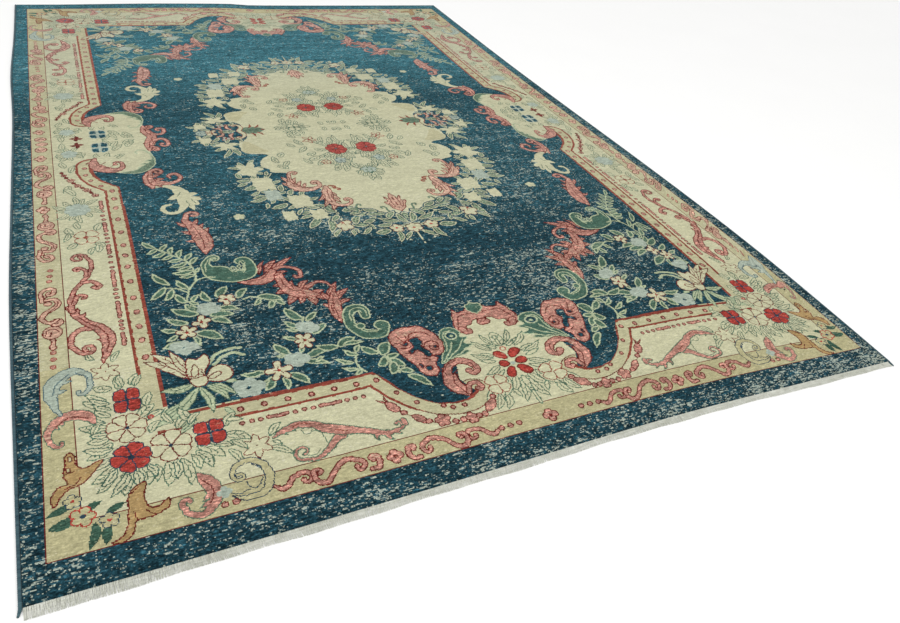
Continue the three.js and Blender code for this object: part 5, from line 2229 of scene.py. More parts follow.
@dataclass
class Wear:
    """How threadbare the pile is, from 0 to 1, over the rug as it lies.

    Rows of patches hold centre, reach across and along, in centimetres, and an amount.
    """

    ground: float = 0.25
    patches: Sequence[tuple[float, float, float, float, float]] = (
        (110.0, 2.0, 170.0, 6.0, 0.4),
        (1.0, 80.0, 4.0, 110.0, 0.45),
        (199.0, 80.0, 5.0, 120.0, 0.5),
        (170.0, 2.0, 50.0, 7.0, 0.2),
        (46.3, 56.0, 1.8, 22.0, 0.3),
        (60.0, 60.0, 50.0, 17.0, 0.25),
        (140.0, 60.0, 50.0, 20.0, 0.3),
        (80.0, 96.0, 50.0, 10.0, 0.28),
        (50.0, 112.0, 22.0, 24.0, 0.16),
        (150.0, 120.0, 30.0, 50.0, 0.25),
        (100.0, 79.0, 70.0, 4.0, -0.25),
    )

    def at(self, x: np.ndarray, y: np.ndarray) -> np.ndarray:
        """Adds up the patches at points of the rug, in centimetres.

        Args:
            x: distances from the left side.
            y: distances from the near end.

        Returns:
            The wear at each point, from 0 to 1.
        """
        worn = np.full(x.shape, self.ground)
        for cx, cy, rx, ry, amount in self.patches:
            worn += amount * np.exp(-(((x - cx) / rx) ** 2) - ((y - cy) / ry) ** 2)
        return np.clip(worn, 0.0, 1.0)


@dataclass
class FarSheen:
    """How far each wool has gone over to its far colour, along the rug: painted sheen, the greyer, mostly
    lighter tone that grazing light gives the far part of the pile.
    """

    # Painted sheen: centimetres from the near end, and the share of the far colour there.
    marks: Points = ((0, 0.0), (80, 0.0), (110, 0.25), (150, 0.32), (183, 0.2), (225, 0.9), (303, 0.78))

    def at(self, y: np.ndarray) -> np.ndarray:
        """Reads the share of painted sheen at distances from the near end, in centimetres."""
        return np.interp(y, *zip(*self.marks))


Colour = tuple[int, int, int]


def linear(colour: Colour) -> tuple[float, float, float, float]:
    """Turns a colour of the screen, 0 to 255, into the light that a shader works in.

    Args:
        colour: red, green and blue.

    Returns:
        Red, green, blue and alpha.
    """
    values = [c / 255 for c in colour]
    r, g, b = (c / 12.92 if c <= 0.04045 else ((c + 0.055) / 1.055) ** 2.4 for c in values)
    return r, g, b, 1.0


@dataclass(frozen=True)
class Wool:
    """A dyed wool: its colour at the near end, its far colour, which holds painted sheen where the pile is
    seen at a grazing angle, and its colour where it is worn thin.
    """

    name: str
    near: Colour
    # painted sheen: the wool as grazing light shows it on the far part of the pile, not a dye of its own
    far: Colour
    worn: Colour
    uneven: float = 0.16


# The second colour of each wool is painted sheen: greyer and mostly lighter, as grazing light shows the far
# part of the pile.
WOOLS: dict[Dye, Wool] = {
    Dye.NAVY: Wool("navy", (31, 62, 72), (64, 114, 125), (192, 202, 186), 0.6),
    Dye.CREAM: Wool("cream", (200, 198, 164), (192, 193, 166), (216, 213, 188), 0.12),
    Dye.KHAKI: Wool("khaki", (182, 176, 136), (188, 181, 146), (206, 200, 164), 0.16),
    Dye.PINK: Wool("pink", (180, 130, 116), (184, 150, 138), (208, 182, 156), 0.44),
    Dye.ROSE: Wool("rose", (198, 160, 139), (196, 166, 150), (210, 186, 160), 0.34),
    Dye.RED: Wool("red", (162, 64, 56), (172, 104, 98), (196, 132, 112), 0.36),
    Dye.MAROON: Wool("maroon", (102, 40, 36), (134, 82, 76), (172, 124, 104), 0.36),
    Dye.GREEN: Wool("green", (72, 102, 88), (104, 126, 112), (140, 156, 132), 0.3),
    Dye.PALE: Wool("pale_green", (176, 186, 152), (160, 174, 154), (190, 194, 166), 0.18),
    Dye.SAGE: Wool("sage", (88, 112, 92), (138, 152, 132), (164, 172, 142), 0.34),
    Dye.LEAF: Wool("leaf_green", (58, 86, 72), (92, 116, 100), (128, 146, 122), 0.34),
    Dye.MIST: Wool("mist_blue", (166, 178, 163), (172, 184, 172), (194, 200, 182), 0.2),
    Dye.SLATE: Wool("slate", (84, 106, 110), (110, 130, 134), (144, 158, 150), 0.3),
    Dye.TAN: Wool("tan", (172, 144, 98), (172, 152, 116), (192, 174, 134), 0.2),
    Dye.INK: Wool("ink_blue", (44, 62, 76), (84, 106, 118), (130, 146, 142), 0.32),
    Dye.BRICK: Wool("brick", (134, 66, 54), (160, 100, 88), (184, 140, 116), 0.3),
    Dye.HAY: Wool("hay", (188, 184, 148), (188, 184, 152), (206, 203, 172), 0.13),
}


@dataclass
class Nodes:
    """A small bench for wiring a node tree."""

    tree: bpy.types.NodeTree

    def add(self, kind: str, **settings: object) -> bpy.types.Node:
        """Adds a node and sets its properties.

        Args:
            kind: the type of the node.
            settings: its properties, by name.

        Returns:
            The node.
        """
        node = self.tree.nodes.new(kind)
        for name, value in settings.items():
            setattr(node, name, value)
        return node

    def feed(self, socket: bpy.types.NodeSocket, value: object) -> None:
        """Links a socket to another, or sets it to a value.

        Args:
            socket: the socket to feed.
            value: a number, a vector, a colour or another socket.
        """
        if isinstance(value, bpy.types.NodeSocket):
            self.tree.links.new(value, socket)
        else:
            socket.default_value = value

    def math(self, operation: str, *values: object) -> bpy.types.NodeSocket:
        """Works out a number from up to three others.

        Args:
            operation: what to work out.
            values: the numbers, vectors or sockets to work it out from.

        Returns:
            The socket that gives the result.
        """
        node = self.add("ShaderNodeMath", operation=operation)
        for socket, value in zip(node.inputs, values):
            self.feed(socket, value)
        return node.outputs[0]

    def vector(self, operation: str, *values: object) -> bpy.types.NodeSocket:
        """Works out a vector from others.

        Args:
            operation: what to work out.
            values: the numbers, vectors or sockets to work it out from.

        Returns:
            The socket that gives the result.
        """
        node = self.add("ShaderNodeVectorMath", operation=operation)
        for socket, value in zip(node.inputs, values):
            self.feed(socket, value)
        return node.outputs[0]

    def mix(self, share: object, first: object, second: object, blend: str = "MIX") -> bpy.types.NodeSocket:
        """Mixes two colours.

        Args:
            share: how far to go from the first to the second.
            first: the colour at 0.
            second: the colour at 1.
            blend: how the two are mixed.

        Returns:
            The socket that gives the result.
        """
        node = self.add("ShaderNodeMix", data_type="RGBA", blend_type=blend)
        self.feed(node.inputs["Factor"], share)
        self.feed(node.inputs["A"], first)
        self.feed(node.inputs["B"], second)
        return node.outputs["Result"]

    def noise(
        self, vector: object, scale: float, detail: float = 2.0, rough: float = 0.5,
    ) -> bpy.types.NodeSocket:
        """Reads smooth noise, from 0 to 1.

        Args:
            vector: the place.
            scale: how fine the noise is.
            detail: how many finer layers it has.
            rough: how strong those layers are.

        Returns:
            The socket that gives the result.
        """
        node = self.add("ShaderNodeTexNoise", noise_dimensions="3D")
        self.feed(node.inputs["Vector"], vector)
        node.inputs["Scale"].default_value = scale
        node.inputs["Detail"].default_value = detail
        node.inputs["Roughness"].default_value = rough
        return node.outputs[0]

    def speckle(self, vector: object) -> bpy.types.NodeSocket:
        """Reads an even chance, from 0 to 1, for each value of a vector.

        Args:
            vector: the vector to read it for.

        Returns:
            The socket that gives the result.
        """
        node = self.add("ShaderNodeTexWhiteNoise", noise_dimensions="3D")
        self.feed(node.inputs["Vector"], vector)
        return node.outputs["Value"]

    def span(
        self, value: object, low: float, high: float, out_low: float, out_high: float,
    ) -> bpy.types.NodeSocket:
        """Maps a number from one span to another, clamped.

        Args:
            value: the number to map.
            low: where its span starts.
            high: where its span ends.
            out_low: what the start becomes.
            out_high: what the end becomes.

        Returns:
            The socket that gives the result.
        """
        node = self.add("ShaderNodeMapRange")
        self.feed(node.inputs["Value"], value)
        for name, number in (
            ("From Min", low), ("From Max", high), ("To Min", out_low), ("To Max", out_high),
        ):
            node.inputs[name].default_value = number
        return node.outputs["Result"]


class Hand(Enum):
    """A half of the rug, or one of its sides."""

    LEFT = -1
    RIGHT = 1


class Direction(Enum):
    """Which way a cord, a woven strip or a row of knots runs."""

    ACROSS = "x"
    ALONG = "y"


@dataclass(frozen=True)
class PileFinish:
    """The finish of knotted, worn wool. One shared group shades it, and each wool brings its colours."""

    roughness: float = 1.0
    sheen: float = 0.01
    specular: float = 0.03
    bump: float = 0.6
    depth: float = 0.0007
    whole: float = 0.745  # noise above this bares a knot where the pile is whole
    threadbare: float = 0.515  # and above this where it is threadbare
    fray: float = 0.05  # how much more noise bares it wholly
    left: float = 0.3  # the least share of bare wool that then shows

    def dashes(
        self, bench: Nodes, knots: object, runs: Direction, pace: float, seed: float,
    ) -> bpy.types.NodeSocket:
        """Reads dashes that lie in single rows of knots, or in single columns of them.

        Args:
            bench: where the nodes go.
            knots: the place, counted in knots.
            runs: across for rows, along for columns.
            pace: how fast a dash changes from knot to knot.
            seed: moves the pattern.

        Returns:
            Smooth noise from 0 to 1 that starts anew in each row or column.
        """
        across = runs is Direction.ACROSS
        flow = bench.vector("MULTIPLY", knots, (pace, 0.0, 0.0) if across else (0.0, pace, 0.0))
        jump = bench.vector(
            "MULTIPLY", bench.vector("FLOOR", knots), (0.0, 7.31, 0.0) if across else (5.73, 0.0, 0.0),
        )
        return bench.noise(
            bench.vector("ADD", bench.vector("ADD", flow, jump), (seed, seed, seed)), 1.0, 1.0, 0.5,
        )

    def group(self) -> bpy.types.NodeTree:
        """Builds the shared group: colours, unevenness and wear in, colour and normal out.

        Returns:
            The group.
        """
        tree = bpy.data.node_groups.new("knotted pile", "ShaderNodeTree")
        ports = tree.interface
        for name in ("Near", "Far", "Worn"):
            ports.new_socket(name, in_out="INPUT", socket_type="NodeSocketColor")
        ports.new_socket("Uneven", in_out="INPUT", socket_type="NodeSocketFloat")
        ports.new_socket("Colour", in_out="OUTPUT", socket_type="NodeSocketColor")
        ports.new_socket("Normal", in_out="OUTPUT", socket_type="NodeSocketVector")
        bench = Nodes(tree)
        given = bench.add("NodeGroupInput").outputs
        knots = bench.add("ShaderNodeUVMap", uv_map="knots").outputs[0]
        wear = bench.add("ShaderNodeAttribute", attribute_name="wear").outputs["Fac"]
        # far: the share of painted sheen at each point, which turns each wool towards its far colour
        far = bench.add("ShaderNodeAttribute", attribute_name="far").outputs["Fac"]

        chance = bench.speckle(bench.vector("FLOOR", knots))
        rows = self.dashes(bench, knots, Direction.ACROSS, 0.3, 3.0)
        long_rows = self.dashes(bench, knots, Direction.ACROSS, 0.1, 41.0)
        pairs = bench.vector("MULTIPLY", knots, (0.5, 0.5, 1.0))
        thick_rows = self.dashes(bench, pairs, Direction.ACROSS, 0.22, 29.0)
        bare_rows = self.dashes(bench, knots, Direction.ACROSS, 0.24, 73.0)
        bare_pairs = self.dashes(bench, pairs, Direction.ACROSS, 0.22, 57.0)
        warps = self.dashes(bench, knots, Direction.ALONG, 0.16, 17.0)
        bands = bench.noise(bench.vector("MULTIPLY", knots, (0.004, 0.06, 1.0)), 1.0, 3.0, 0.6)
        patch = bench.noise(knots, 0.03, 3.0, 0.6)

        tone = bench.math("MULTIPLY", bench.math("SUBTRACT", chance, 0.5), 1.3)
        for pattern, weight in (
            (rows, 5.0), (thick_rows, 4.4), (long_rows, 2.6), (warps, 1.2), (bands, 1.8), (patch, 0.9),
        ):
            tone = bench.math("MULTIPLY_ADD", bench.math("SUBTRACT", pattern, 0.5), weight, tone)
        factor = bench.math("EXPONENT", bench.math("MULTIPLY", tone, given["Uneven"]))
        # Painted sheen: the dye goes over to its far colour by the far share.
        dyed = bench.mix(far, given["Near"], given["Far"])
        dyed = bench.mix(1.0, dyed, self.grey(bench, factor), "MULTIPLY")

        local = bench.math("MULTIPLY_ADD", bench.math("SUBTRACT", patch, 0.5), 1.3, wear)
        local = bench.math("MULTIPLY_ADD", bench.math("SUBTRACT", bands, 0.5), 0.8, local)
        limit = bench.span(local, 0.0, 1.0, self.whole, self.threadbare)
        row_wear = bench.math("MAXIMUM", bare_rows, bench.math("SUBTRACT", bare_pairs, 0.015))
        row_wear = bench.math("MULTIPLY_ADD", bench.math("SUBTRACT", chance, 0.5), 0.06, row_wear)
        bare = bench.math("MAXIMUM", row_wear, bench.math("SUBTRACT", warps, 0.13))
        over = bench.span(bench.math("SUBTRACT", bare, limit), 0.0, self.fray, 0.0, 1.0)
        thin = bench.math("MULTIPLY", over, bench.span(chance, 0.0, 1.0, self.left, 1.0))
        coloured = bench.mix(thin, dyed, given["Worn"])

        inside = bench.vector(
            "ABSOLUTE", bench.vector("SUBTRACT", bench.vector("FRACTION", knots), (0.5, 0.5, 0.5)),
        )
        parts = bench.add("ShaderNodeSeparateXYZ")
        bench.feed(parts.inputs[0], inside)
        side = bench.math("MAXIMUM", parts.outputs[0], parts.outputs[1])
        pillow = bench.span(side, 0.2, 0.5, 1.0, 0.0)
        shadow = bench.span(pillow, 0.0, 1.0, 0.9, 1.02)
        finished = bench.mix(1.0, coloured, self.grey(bench, shadow), "MULTIPLY")

        fibre = bench.noise(knots, 2.6, 2.0, 0.6)
        height = bench.math("MULTIPLY_ADD", chance, 0.8, bench.math("MULTIPLY_ADD", fibre, 0.5, pillow))
        height = bench.math("SUBTRACT", height, bench.math("MULTIPLY", thin, 0.8))
        relief = bench.add("ShaderNodeBump")
        relief.inputs["Strength"].default_value = self.bump
        relief.inputs["Distance"].default_value = self.depth
        bench.feed(relief.inputs["Height"], height)
        output = bench.add("NodeGroupOutput")
        bench.feed(output.inputs["Colour"], finished)
        bench.feed(output.inputs["Normal"], relief.outputs[0])
        return tree

    def grey(self, bench: Nodes, value: object) -> bpy.types.NodeSocket:
        """Turns a number into a grey that a colour can be multiplied by.

        Args:
            bench: where the nodes go.
            value: the number, as a socket.

        Returns:
            The socket that gives the result.
        """
        shade = bench.add("ShaderNodeCombineColor")
        for socket in shade.inputs:
            bench.feed(socket, value)
        return shade.outputs[0]

    def materials(self) -> list[bpy.types.Material]:
        """Makes one material for each dye, in the order of the dyes.

        Returns:
            The materials.
        """
        group = self.group()
        made = []
        for dye in Dye:
            wool = WOOLS[dye]
            material = bpy.data.materials.new(f"wool_{wool.name}")
            material.use_nodes = True
            material.diffuse_color = linear(wool.near)
            bench = Nodes(material.node_tree)
            shader = material.node_tree.nodes["Principled BSDF"]
            shader.inputs["Base Color"].default_value = linear(wool.near)
            shader.inputs["Roughness"].default_value = self.roughness
            shader.inputs["Sheen Weight"].default_value = self.sheen
            shader.inputs["Specular IOR Level"].default_value = self.specular
            pile = bench.add("ShaderNodeGroup", node_tree=group)
            for name, colour in (("Near", wool.near), ("Far", wool.far), ("Worn", wool.worn)):
                pile.inputs[name].default_value = linear(colour)
            pile.inputs["Uneven"].default_value = wool.uneven
            bench.feed(shader.inputs["Base Color"], pile.outputs["Colour"])
            bench.feed(shader.inputs["Normal"], pile.outputs["Normal"])
            made.append(material)
        return made


@dataclass(frozen=True)
class YarnFinish:
    """The finish of wrapped or spun yarn: uneven colour, a fine twist and stray pale fibres."""

    name: str
    colour: Colour
    light: Colour
    pitch: float
    runs: Direction
    roughness: float = 0.92
    sheen: float = 0.15
    specular: float = 0.2
    bump: float = 0.5
    depth: float = 0.0006

    def material(self) -> bpy.types.Material:
        """Builds the material.

        Returns:
            The material.
        """
        material = bpy.data.materials.new(self.name)
        material.use_nodes = True
        material.diffuse_color = linear(self.colour)
        bench = Nodes(material.node_tree)
        shader = material.node_tree.nodes["Principled BSDF"]
        shader.inputs["Roughness"].default_value = self.roughness
        shader.inputs["Sheen Weight"].default_value = self.sheen
        shader.inputs["Specular IOR Level"].default_value = self.specular
        place = bench.add("ShaderNodeTexCoord").outputs["Object"]
        long_way = (1.0, 0.12, 1.0) if self.runs is Direction.ACROSS else (0.12, 1.0, 1.0)
        stretched = bench.vector("MULTIPLY", place, long_way)
        wraps = bench.noise(stretched, 1.0 / self.pitch, 1.0, 0.5)
        patches = bench.noise(place, 9.0, 3.0, 0.6)
        fibres = bench.noise(place, 1400.0, 2.0, 0.6)
        tone = bench.math("MULTIPLY_ADD", wraps, 0.6, bench.math("MULTIPLY", patches, 0.5))
        light = bench.span(tone, 0.38, 0.78, 0.0, 1.0)
        bench.feed(shader.inputs["Base Color"], bench.mix(light, linear(self.colour), linear(self.light)))
        relief = bench.add("ShaderNodeBump")
        relief.inputs["Strength"].default_value = self.bump
        relief.inputs["Distance"].default_value = self.depth
        bench.feed(relief.inputs["Height"], bench.math("MULTIPLY_ADD", fibres, 0.5, wraps))
        bench.feed(shader.inputs["Normal"], relief.outputs[0])
        return material


def make_mesh(
    name: str,
    points: np.ndarray,
    faces: np.ndarray,
    uvs: dict[str, np.ndarray],
    corners: np.ndarray | None = None,
) -> bpy.types.Object:
    """Makes an object from points and faces.

    Args:
        name: the piece's name.
        points: the vertices, in metres.
        faces: the vertex numbers of each face, one row each, or all in one row.
        uvs: for each UV map, one point for each vertex.
        corners: how many corners each face has, where they are all in one row.

    Returns:
        The object, linked to the scene.
    """
    mesh = bpy.data.meshes.new(name)
    counts = np.full(len(faces), faces.shape[1]) if corners is None else corners
    mesh.vertices.add(len(points))
    mesh.vertices.foreach_set("co", points.astype(np.float32).ravel())
    mesh.loops.add(faces.size)
    mesh.loops.foreach_set("vertex_index", faces.astype(np.int32).ravel())
    mesh.polygons.add(len(counts))
    mesh.polygons.foreach_set("loop_start", np.concatenate([[0], np.cumsum(counts)[:-1]]).astype(np.int32))
    mesh.polygons.foreach_set("loop_total", counts.astype(np.int32))
    for layer, places in uvs.items():
        uv = mesh.uv_layers.new(name=layer)
        uv.data.foreach_set("uv", places[faces.ravel()].astype(np.float32).ravel())
    mesh.update(calc_edges=True)
    mesh.validate()
    mesh.polygons.foreach_set("use_smooth", np.ones(len(mesh.polygons), bool))
    obj = bpy.data.objects.new(name, mesh)
    bpy.context.scene.collection.objects.link(obj)
    return obj


def flat_uv(points: np.ndarray) -> np.ndarray:
    """Lays points out flat between 0 and 1, for the colours of the finished model."""
    low, high = points[:, :2].min(0), points[:, :2].max(0)
    return 0.002 + 0.996 * (points[:, :2] - low) / np.maximum(high - low, 1e-6)


def grid_faces(tall: int, wide: int) -> np.ndarray:
    """Lists the faces of a grid of points, seen from below, for its numbers of rows and columns."""
    corner = (np.arange(tall - 1)[:, None] * wide + np.arange(wide - 1)).ravel()
    return np.stack([corner, corner + wide, corner + wide + 1, corner + 1], axis=1)


def tube_faces(steps: int, sides: int) -> np.ndarray:
    """Lists the faces of a tube of points, for its numbers of steps and sides.

    Args:
        steps: how many steps the tube has.
        sides: how many sides it has.

    Returns:
        The point numbers of each face, one row each.
    """
    ring, turn = np.meshgrid(np.arange(steps), np.arange(sides), indexing="ij")
    here, beside = ring * sides + turn, ring * sides + (turn + 1) % sides
    return np.stack([here, beside, beside + sides, here + sides], axis=-1).reshape(-1, 4)


def note_share(obj: bpy.types.Object, layer: str, values: np.ndarray) -> None:
    """Keeps a share for each point of a piece, for its finish to read."""
    attribute = obj.data.attributes.new(layer, "FLOAT", "POINT")
    attribute.data.foreach_set("value", values.astype(np.float32))


def report(obj: bpy.types.Object) -> bpy.types.Object:
    """Tells the log about a piece, and hands it back.

    Args:
        obj: the piece.

    Returns:
        The piece.
    """
    triangles = len(obj.data.loops) - 2 * len(obj.data.polygons)
    LOG.info("%s: %d faces, %d triangles", obj.name, len(obj.data.polygons), triangles)
    return obj


KEYS = 32  # the number of a zone times this, plus the number of a dye, is a block's key


@dataclass
class Blocks:
    """The knots of the quarter, gathered into blocks of one dye.

    A block is one face. Where a neighbour's corner touches its side, it has a corner too,
    so the pile has no cracks.
    """

    chart: Chart
    longest: int = 12
    met: np.ndarray = field(init=False)
    rims: dict[Zone, list[np.ndarray]] = field(init=False)
    dyes: dict[Zone, list[int]] = field(init=False)

    def __post_init__(self) -> None:
        """Gathers the blocks, marks where their corners are, and lists each one's rim."""
        blocks = self.gather()
        self.met = np.zeros((HALF_ALONG + 1, HALF_ACROSS + 1), bool)
        for low, high, left, right, _ in blocks:
            self.met[[low, low, high, high], [left, right, left, right]] = True
        self.rims = {zone: [] for zone in Zone}
        self.dyes = {zone: [] for zone in Zone}
        for low, high, left, right, key in blocks:
            zone = Zone(key // KEYS)
            self.rims[zone].append(self.rim(low, high, left, right))
            self.dyes[zone].append(key % KEYS)

    def gather(self) -> list[tuple[int, int, int, int, int]]:
        """Joins knots of one dye along rows, and equal runs from row to row.

        Returns:
            For each block its first and last row line, its first and last column line, and a
            number that holds its zone and its dye.
        """
        keys = self.chart.dyes[:HALF_ALONG, :HALF_ACROSS].astype(int)
        keys += KEYS * self.chart.zones[:HALF_ALONG, :HALF_ACROSS]
        regular = np.arange(0, HALF_ACROSS, self.longest)
        blocks, live = [], {}
        for row, line in enumerate(keys):
            edges = np.flatnonzero(np.diff(line)) + 1
            cuts = np.unique(np.concatenate([regular, edges, [HALF_ACROSS]])).tolist()
            found = {}
            for left, right in zip(cuts, cuts[1:]):
                run = (left, right, int(line[left]))
                grows = run in live and row % self.longest
                found[run] = live.pop(run) if grows else row
            blocks += [(start, row, *run) for run, start in live.items()]
            live = found
        return blocks + [(start, HALF_ALONG, *run) for run, start in live.items()]

    def rim(self, low: int, high: int, left: int, right: int) -> np.ndarray:
        """Lists the corners round a block, as rows of row line and column line.

        Args:
            low: its first row line.
            high: its last row line.
            left: its first column line.
            right: its last column line.

        Returns:
            The corners, in their order round the block.
        """
        below = left + np.flatnonzero(self.met[low, left : right + 1])
        above = left + np.flatnonzero(self.met[high, left : right + 1])[::-1]
        up = low + 1 + np.flatnonzero(self.met[low + 1 : high, right])
        down = low + 1 + np.flatnonzero(self.met[low + 1 : high, left])[::-1]
        rows = np.concatenate([np.full(len(below), low), up, np.full(len(above), high), down])
        cols = np.concatenate([below, np.full(len(up), right), above, np.full(len(down), left)])
        return np.column_stack([rows, cols])

    def faces(
        self, zones: Iterable[Zone], hands: Iterable[Hand],
    ) -> tuple[np.ndarray, np.ndarray, np.ndarray]:
        """Turns the blocks of some zones over into the quarters of the rug.

        Args:
            zones: the zones wanted.
            hands: the halves of the rug wanted.

        Returns:
            The grid numbers of all corners in one row, how many each face has, and its dye.
        """
        rims = [rim for zone in zones for rim in self.rims[zone]]
        dyes = [dye for zone in zones for dye in self.dyes[zone]]
        counts = [len(rim) for rim in rims]
        ahead, back = np.vstack(rims), np.vstack([rim[::-1] for rim in rims])
        corners = []
        for hand in hands:
            for far in (False, True):
                turned = (hand is Hand.RIGHT) != far
                lines = (back if turned else ahead).copy()
                if hand is Hand.RIGHT:
                    lines[:, 1] = 2 * HALF_ACROSS - lines[:, 1]
                if far:
                    lines[:, 0] = 2 * HALF_ALONG - lines[:, 0]
                corners.append(lines[:, 0] * (2 * HALF_ACROSS + 1) + lines[:, 1])
        times = len(corners)
        return np.concatenate(corners), np.tile(counts, times), np.tile(dyes, times)


@dataclass
class Pile:
    """The knotted pile, in pieces along the parts of the design."""

    bed: Bed
    blocks: Blocks
    wear: Wear
    # the painted sheen of the far part of the pile
    far_sheen: FarSheen
    finish: PileFinish
    relief: float = 0.00022  # metres that a block's corner may stand lower
    thick: float = 0.0046  # metres from the top of the pile down to where its edge ends
    seed: int = 7
    plan: Sequence[tuple[str, Sequence[Zone], Sequence[Hand]]] = (
        ("pile_outer_band", (Zone.BAND,), (Hand.LEFT, Hand.RIGHT)),
        ("pile_guard_border_left", (Zone.GUARD,), (Hand.LEFT,)),
        ("pile_guard_border_right", (Zone.GUARD,), (Hand.RIGHT,)),
        ("pile_main_border_left", (Zone.BORDER,), (Hand.LEFT,)),
        ("pile_main_border_right", (Zone.BORDER,), (Hand.RIGHT,)),
        ("pile_beaded_frame_left", (Zone.BEADING,), (Hand.LEFT,)),
        ("pile_beaded_frame_right", (Zone.BEADING,), (Hand.RIGHT,)),
        ("pile_field_and_medallion_left", (Zone.FIELD, Zone.MEDALLION), (Hand.LEFT,)),
        ("pile_field_and_medallion_right", (Zone.FIELD, Zone.MEDALLION), (Hand.RIGHT,)),
    )

    def grid(self) -> np.ndarray:
        """Places the corners of all knots on the bed, each a little lower or higher.

        Returns:
            The points, in metres, with a last axis of three.
        """
        rows, cols = np.arange(2 * HALF_ALONG + 1), np.arange(2 * HALF_ACROSS + 1)
        points = self.bed.on(self.bed.top, *self.bed.shares(cols, rows))
        points[..., 2] -= np.random.default_rng(self.seed).uniform(0, self.relief, points.shape[:2])
        return points

    def rim(self) -> np.ndarray:
        """Lists the grid numbers of the corners round the whole rug.

        Returns:
            The numbers, in their order round the rug.
        """
        half = self.blocks.met
        met = np.hstack([half, half[:, -2::-1]])
        met = np.vstack([met, met[-2::-1]])
        tall, wide = met.shape
        ids = np.arange(tall * wide).reshape(tall, wide)
        sides = (
            (ids[0, :-1], met[0, :-1]), (ids[:-1, -1], met[:-1, -1]),
            (ids[-1, :0:-1], met[-1, :0:-1]), (ids[:0:-1, 0], met[:0:-1, 0]),
        )
        return np.concatenate([side[kept] for side, kept in sides])

    def piece(
        self, name: str, points: np.ndarray, zones: Sequence[Zone], hands: Sequence[Hand],
    ) -> bpy.types.Object:
        """Makes one piece.

        Args:
            name: its name.
            points: the corners of all knots.
            zones: the zones in it.
            hands: the halves of the rug that it covers.

        Returns:
            The piece, with the dye of each face as its material number.
        """
        loops, counts, dyes = self.blocks.faces(zones, hands)
        wide = points.shape[1]
        used, faces = np.unique(loops, return_inverse=True)
        place = points.reshape(-1, 3)[used]
        knots = np.stack([used % wide, used // wide], axis=1).astype(float)
        if Zone.BAND in zones:
            index = np.searchsorted(used, self.rim())
            under = len(place) + np.arange(len(index))
            skirt = np.stack([index, under, np.roll(under, -1), np.roll(index, -1)], axis=1)
            place = np.vstack([place, place[index] - (0, 0, self.thick)])
            knots = np.vstack([knots, knots[index] + (0.0, 0.7)])
            faces = np.concatenate([faces, skirt.ravel()])
            counts = np.concatenate([counts, np.full(len(skirt), 4)])
            dyes = np.concatenate([dyes, np.full(len(skirt), Dye.NAVY)])
        obj = make_mesh(name, place, faces, {"OFBake": flat_uv(place), "knots": knots}, counts)
        obj.data.polygons.foreach_set("material_index", dyes.astype(np.int32))
        origin = self.bed.top[0, 0]
        x, y = ((place[:, axis] - origin[axis]) * 100 for axis in (0, 1))
        note_share(obj, "wear", self.wear.at(x, y))
        # Painted sheen: how far each point goes over to its wool's far colour.
        note_share(obj, "far", self.far_sheen.at(y))
        return obj

    def build(self) -> list[bpy.types.Object]:
        """Makes every piece of the pile.

        Returns:
            The pieces.
        """
        materials = self.finish.materials()
        points = self.grid()
        pieces = []
        for name, zones, hands in self.plan:
            obj = self.piece(name, points, zones, hands)
            for material in materials:
                obj.data.materials.append(material)
            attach(obj, "root")
            pieces.append(report(obj))
        return pieces


@dataclass
class Back:
    """The underside: the cotton foundation and the knots that show through it."""

    bed: Bed
    chart: Chart
    across: int = 162
    along: int = 257
    floor_gap: float = 0.0002
    worn: float = 0.02  # the wear of the whole underside
    far_sheen_share: float = 0.3  # and its share of painted sheen
    slab: Point = (0.0008, 0.0034)  # metres from the floor to the sheet's two faces
    threads: tuple[int, int] = (49, 73)  # points of the sheet across and along
    inset: Point = (0.0006, 0.0004)  # shares of width and length that it stays inside the pile

    def knotted_back(self, materials: Iterable[bpy.types.Material]) -> bpy.types.Object:
        """Makes the back, where the design shows in coarser steps.

        Args:
            materials: the pile's materials, in the order of the dyes.

        Returns:
            The piece.
        """
        cols = np.linspace(0, 2 * HALF_ACROSS, self.across + 1)
        rows = np.linspace(0, 2 * HALF_ALONG, self.along + 1)
        grid = self.bed.on(self.bed.base, *self.bed.shares(cols, rows))
        points = grid.reshape(-1, 3) + (0, 0, self.floor_gap)
        faces = grid_faces(self.along + 1, self.across + 1)
        knots = np.stack(np.meshgrid(cols, rows), axis=-1).reshape(-1, 2)
        obj = make_mesh("knotted_back", points, faces, {"OFBake": flat_uv(points), "knots": knots})
        dyes = self.chart.whole(self.chart.dyes)
        mid_cols = ((cols[1:] + cols[:-1]) / 2).astype(int)
        mid_rows = ((rows[1:] + rows[:-1]) / 2).astype(int)
        for material in materials:
            obj.data.materials.append(material)
        obj.data.polygons.foreach_set(
            "material_index", dyes[np.ix_(mid_rows, mid_cols)].ravel().astype(np.int32),
        )
        note_share(obj, "wear", np.full(len(points), self.worn))
        note_share(obj, "far", np.full(len(points), self.far_sheen_share))
        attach(obj, "root")
        return report(obj)

    def foundation(self, cotton: YarnFinish) -> bpy.types.Object:
        """Makes the woven cotton sheet that carries the knots.

        Args:
            cotton: the finish of the sheet.

        Returns:
            The piece.
        """
        wide, tall = self.threads
        u, v = (np.linspace(inset, 1 - inset, count) for inset, count in zip(self.inset, self.threads))
        u, v = np.meshgrid(u, v)
        base = self.bed.on(self.bed.base, u, v)
        layers = [(base + (0, 0, height)).reshape(-1, 3) for height in self.slab]
        count = wide * tall
        under = grid_faces(tall, wide)
        over = under[:, ::-1] + count
        ids = np.arange(count).reshape(tall, wide)
        rim = np.concatenate([ids[0, :-1], ids[:-1, -1], ids[-1, :0:-1], ids[:0:-1, 0]])
        after = np.roll(rim, -1)
        edge = np.stack([rim, after, after + count, rim + count], axis=1)
        points = np.vstack(layers)
        obj = make_mesh("foundation", points, np.vstack([under, over, edge]), {"OFBake": flat_uv(points)})
        obj.data.materials.append(cotton.material())
        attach(obj, "root")
        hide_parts("rug_body")
        return report(obj)


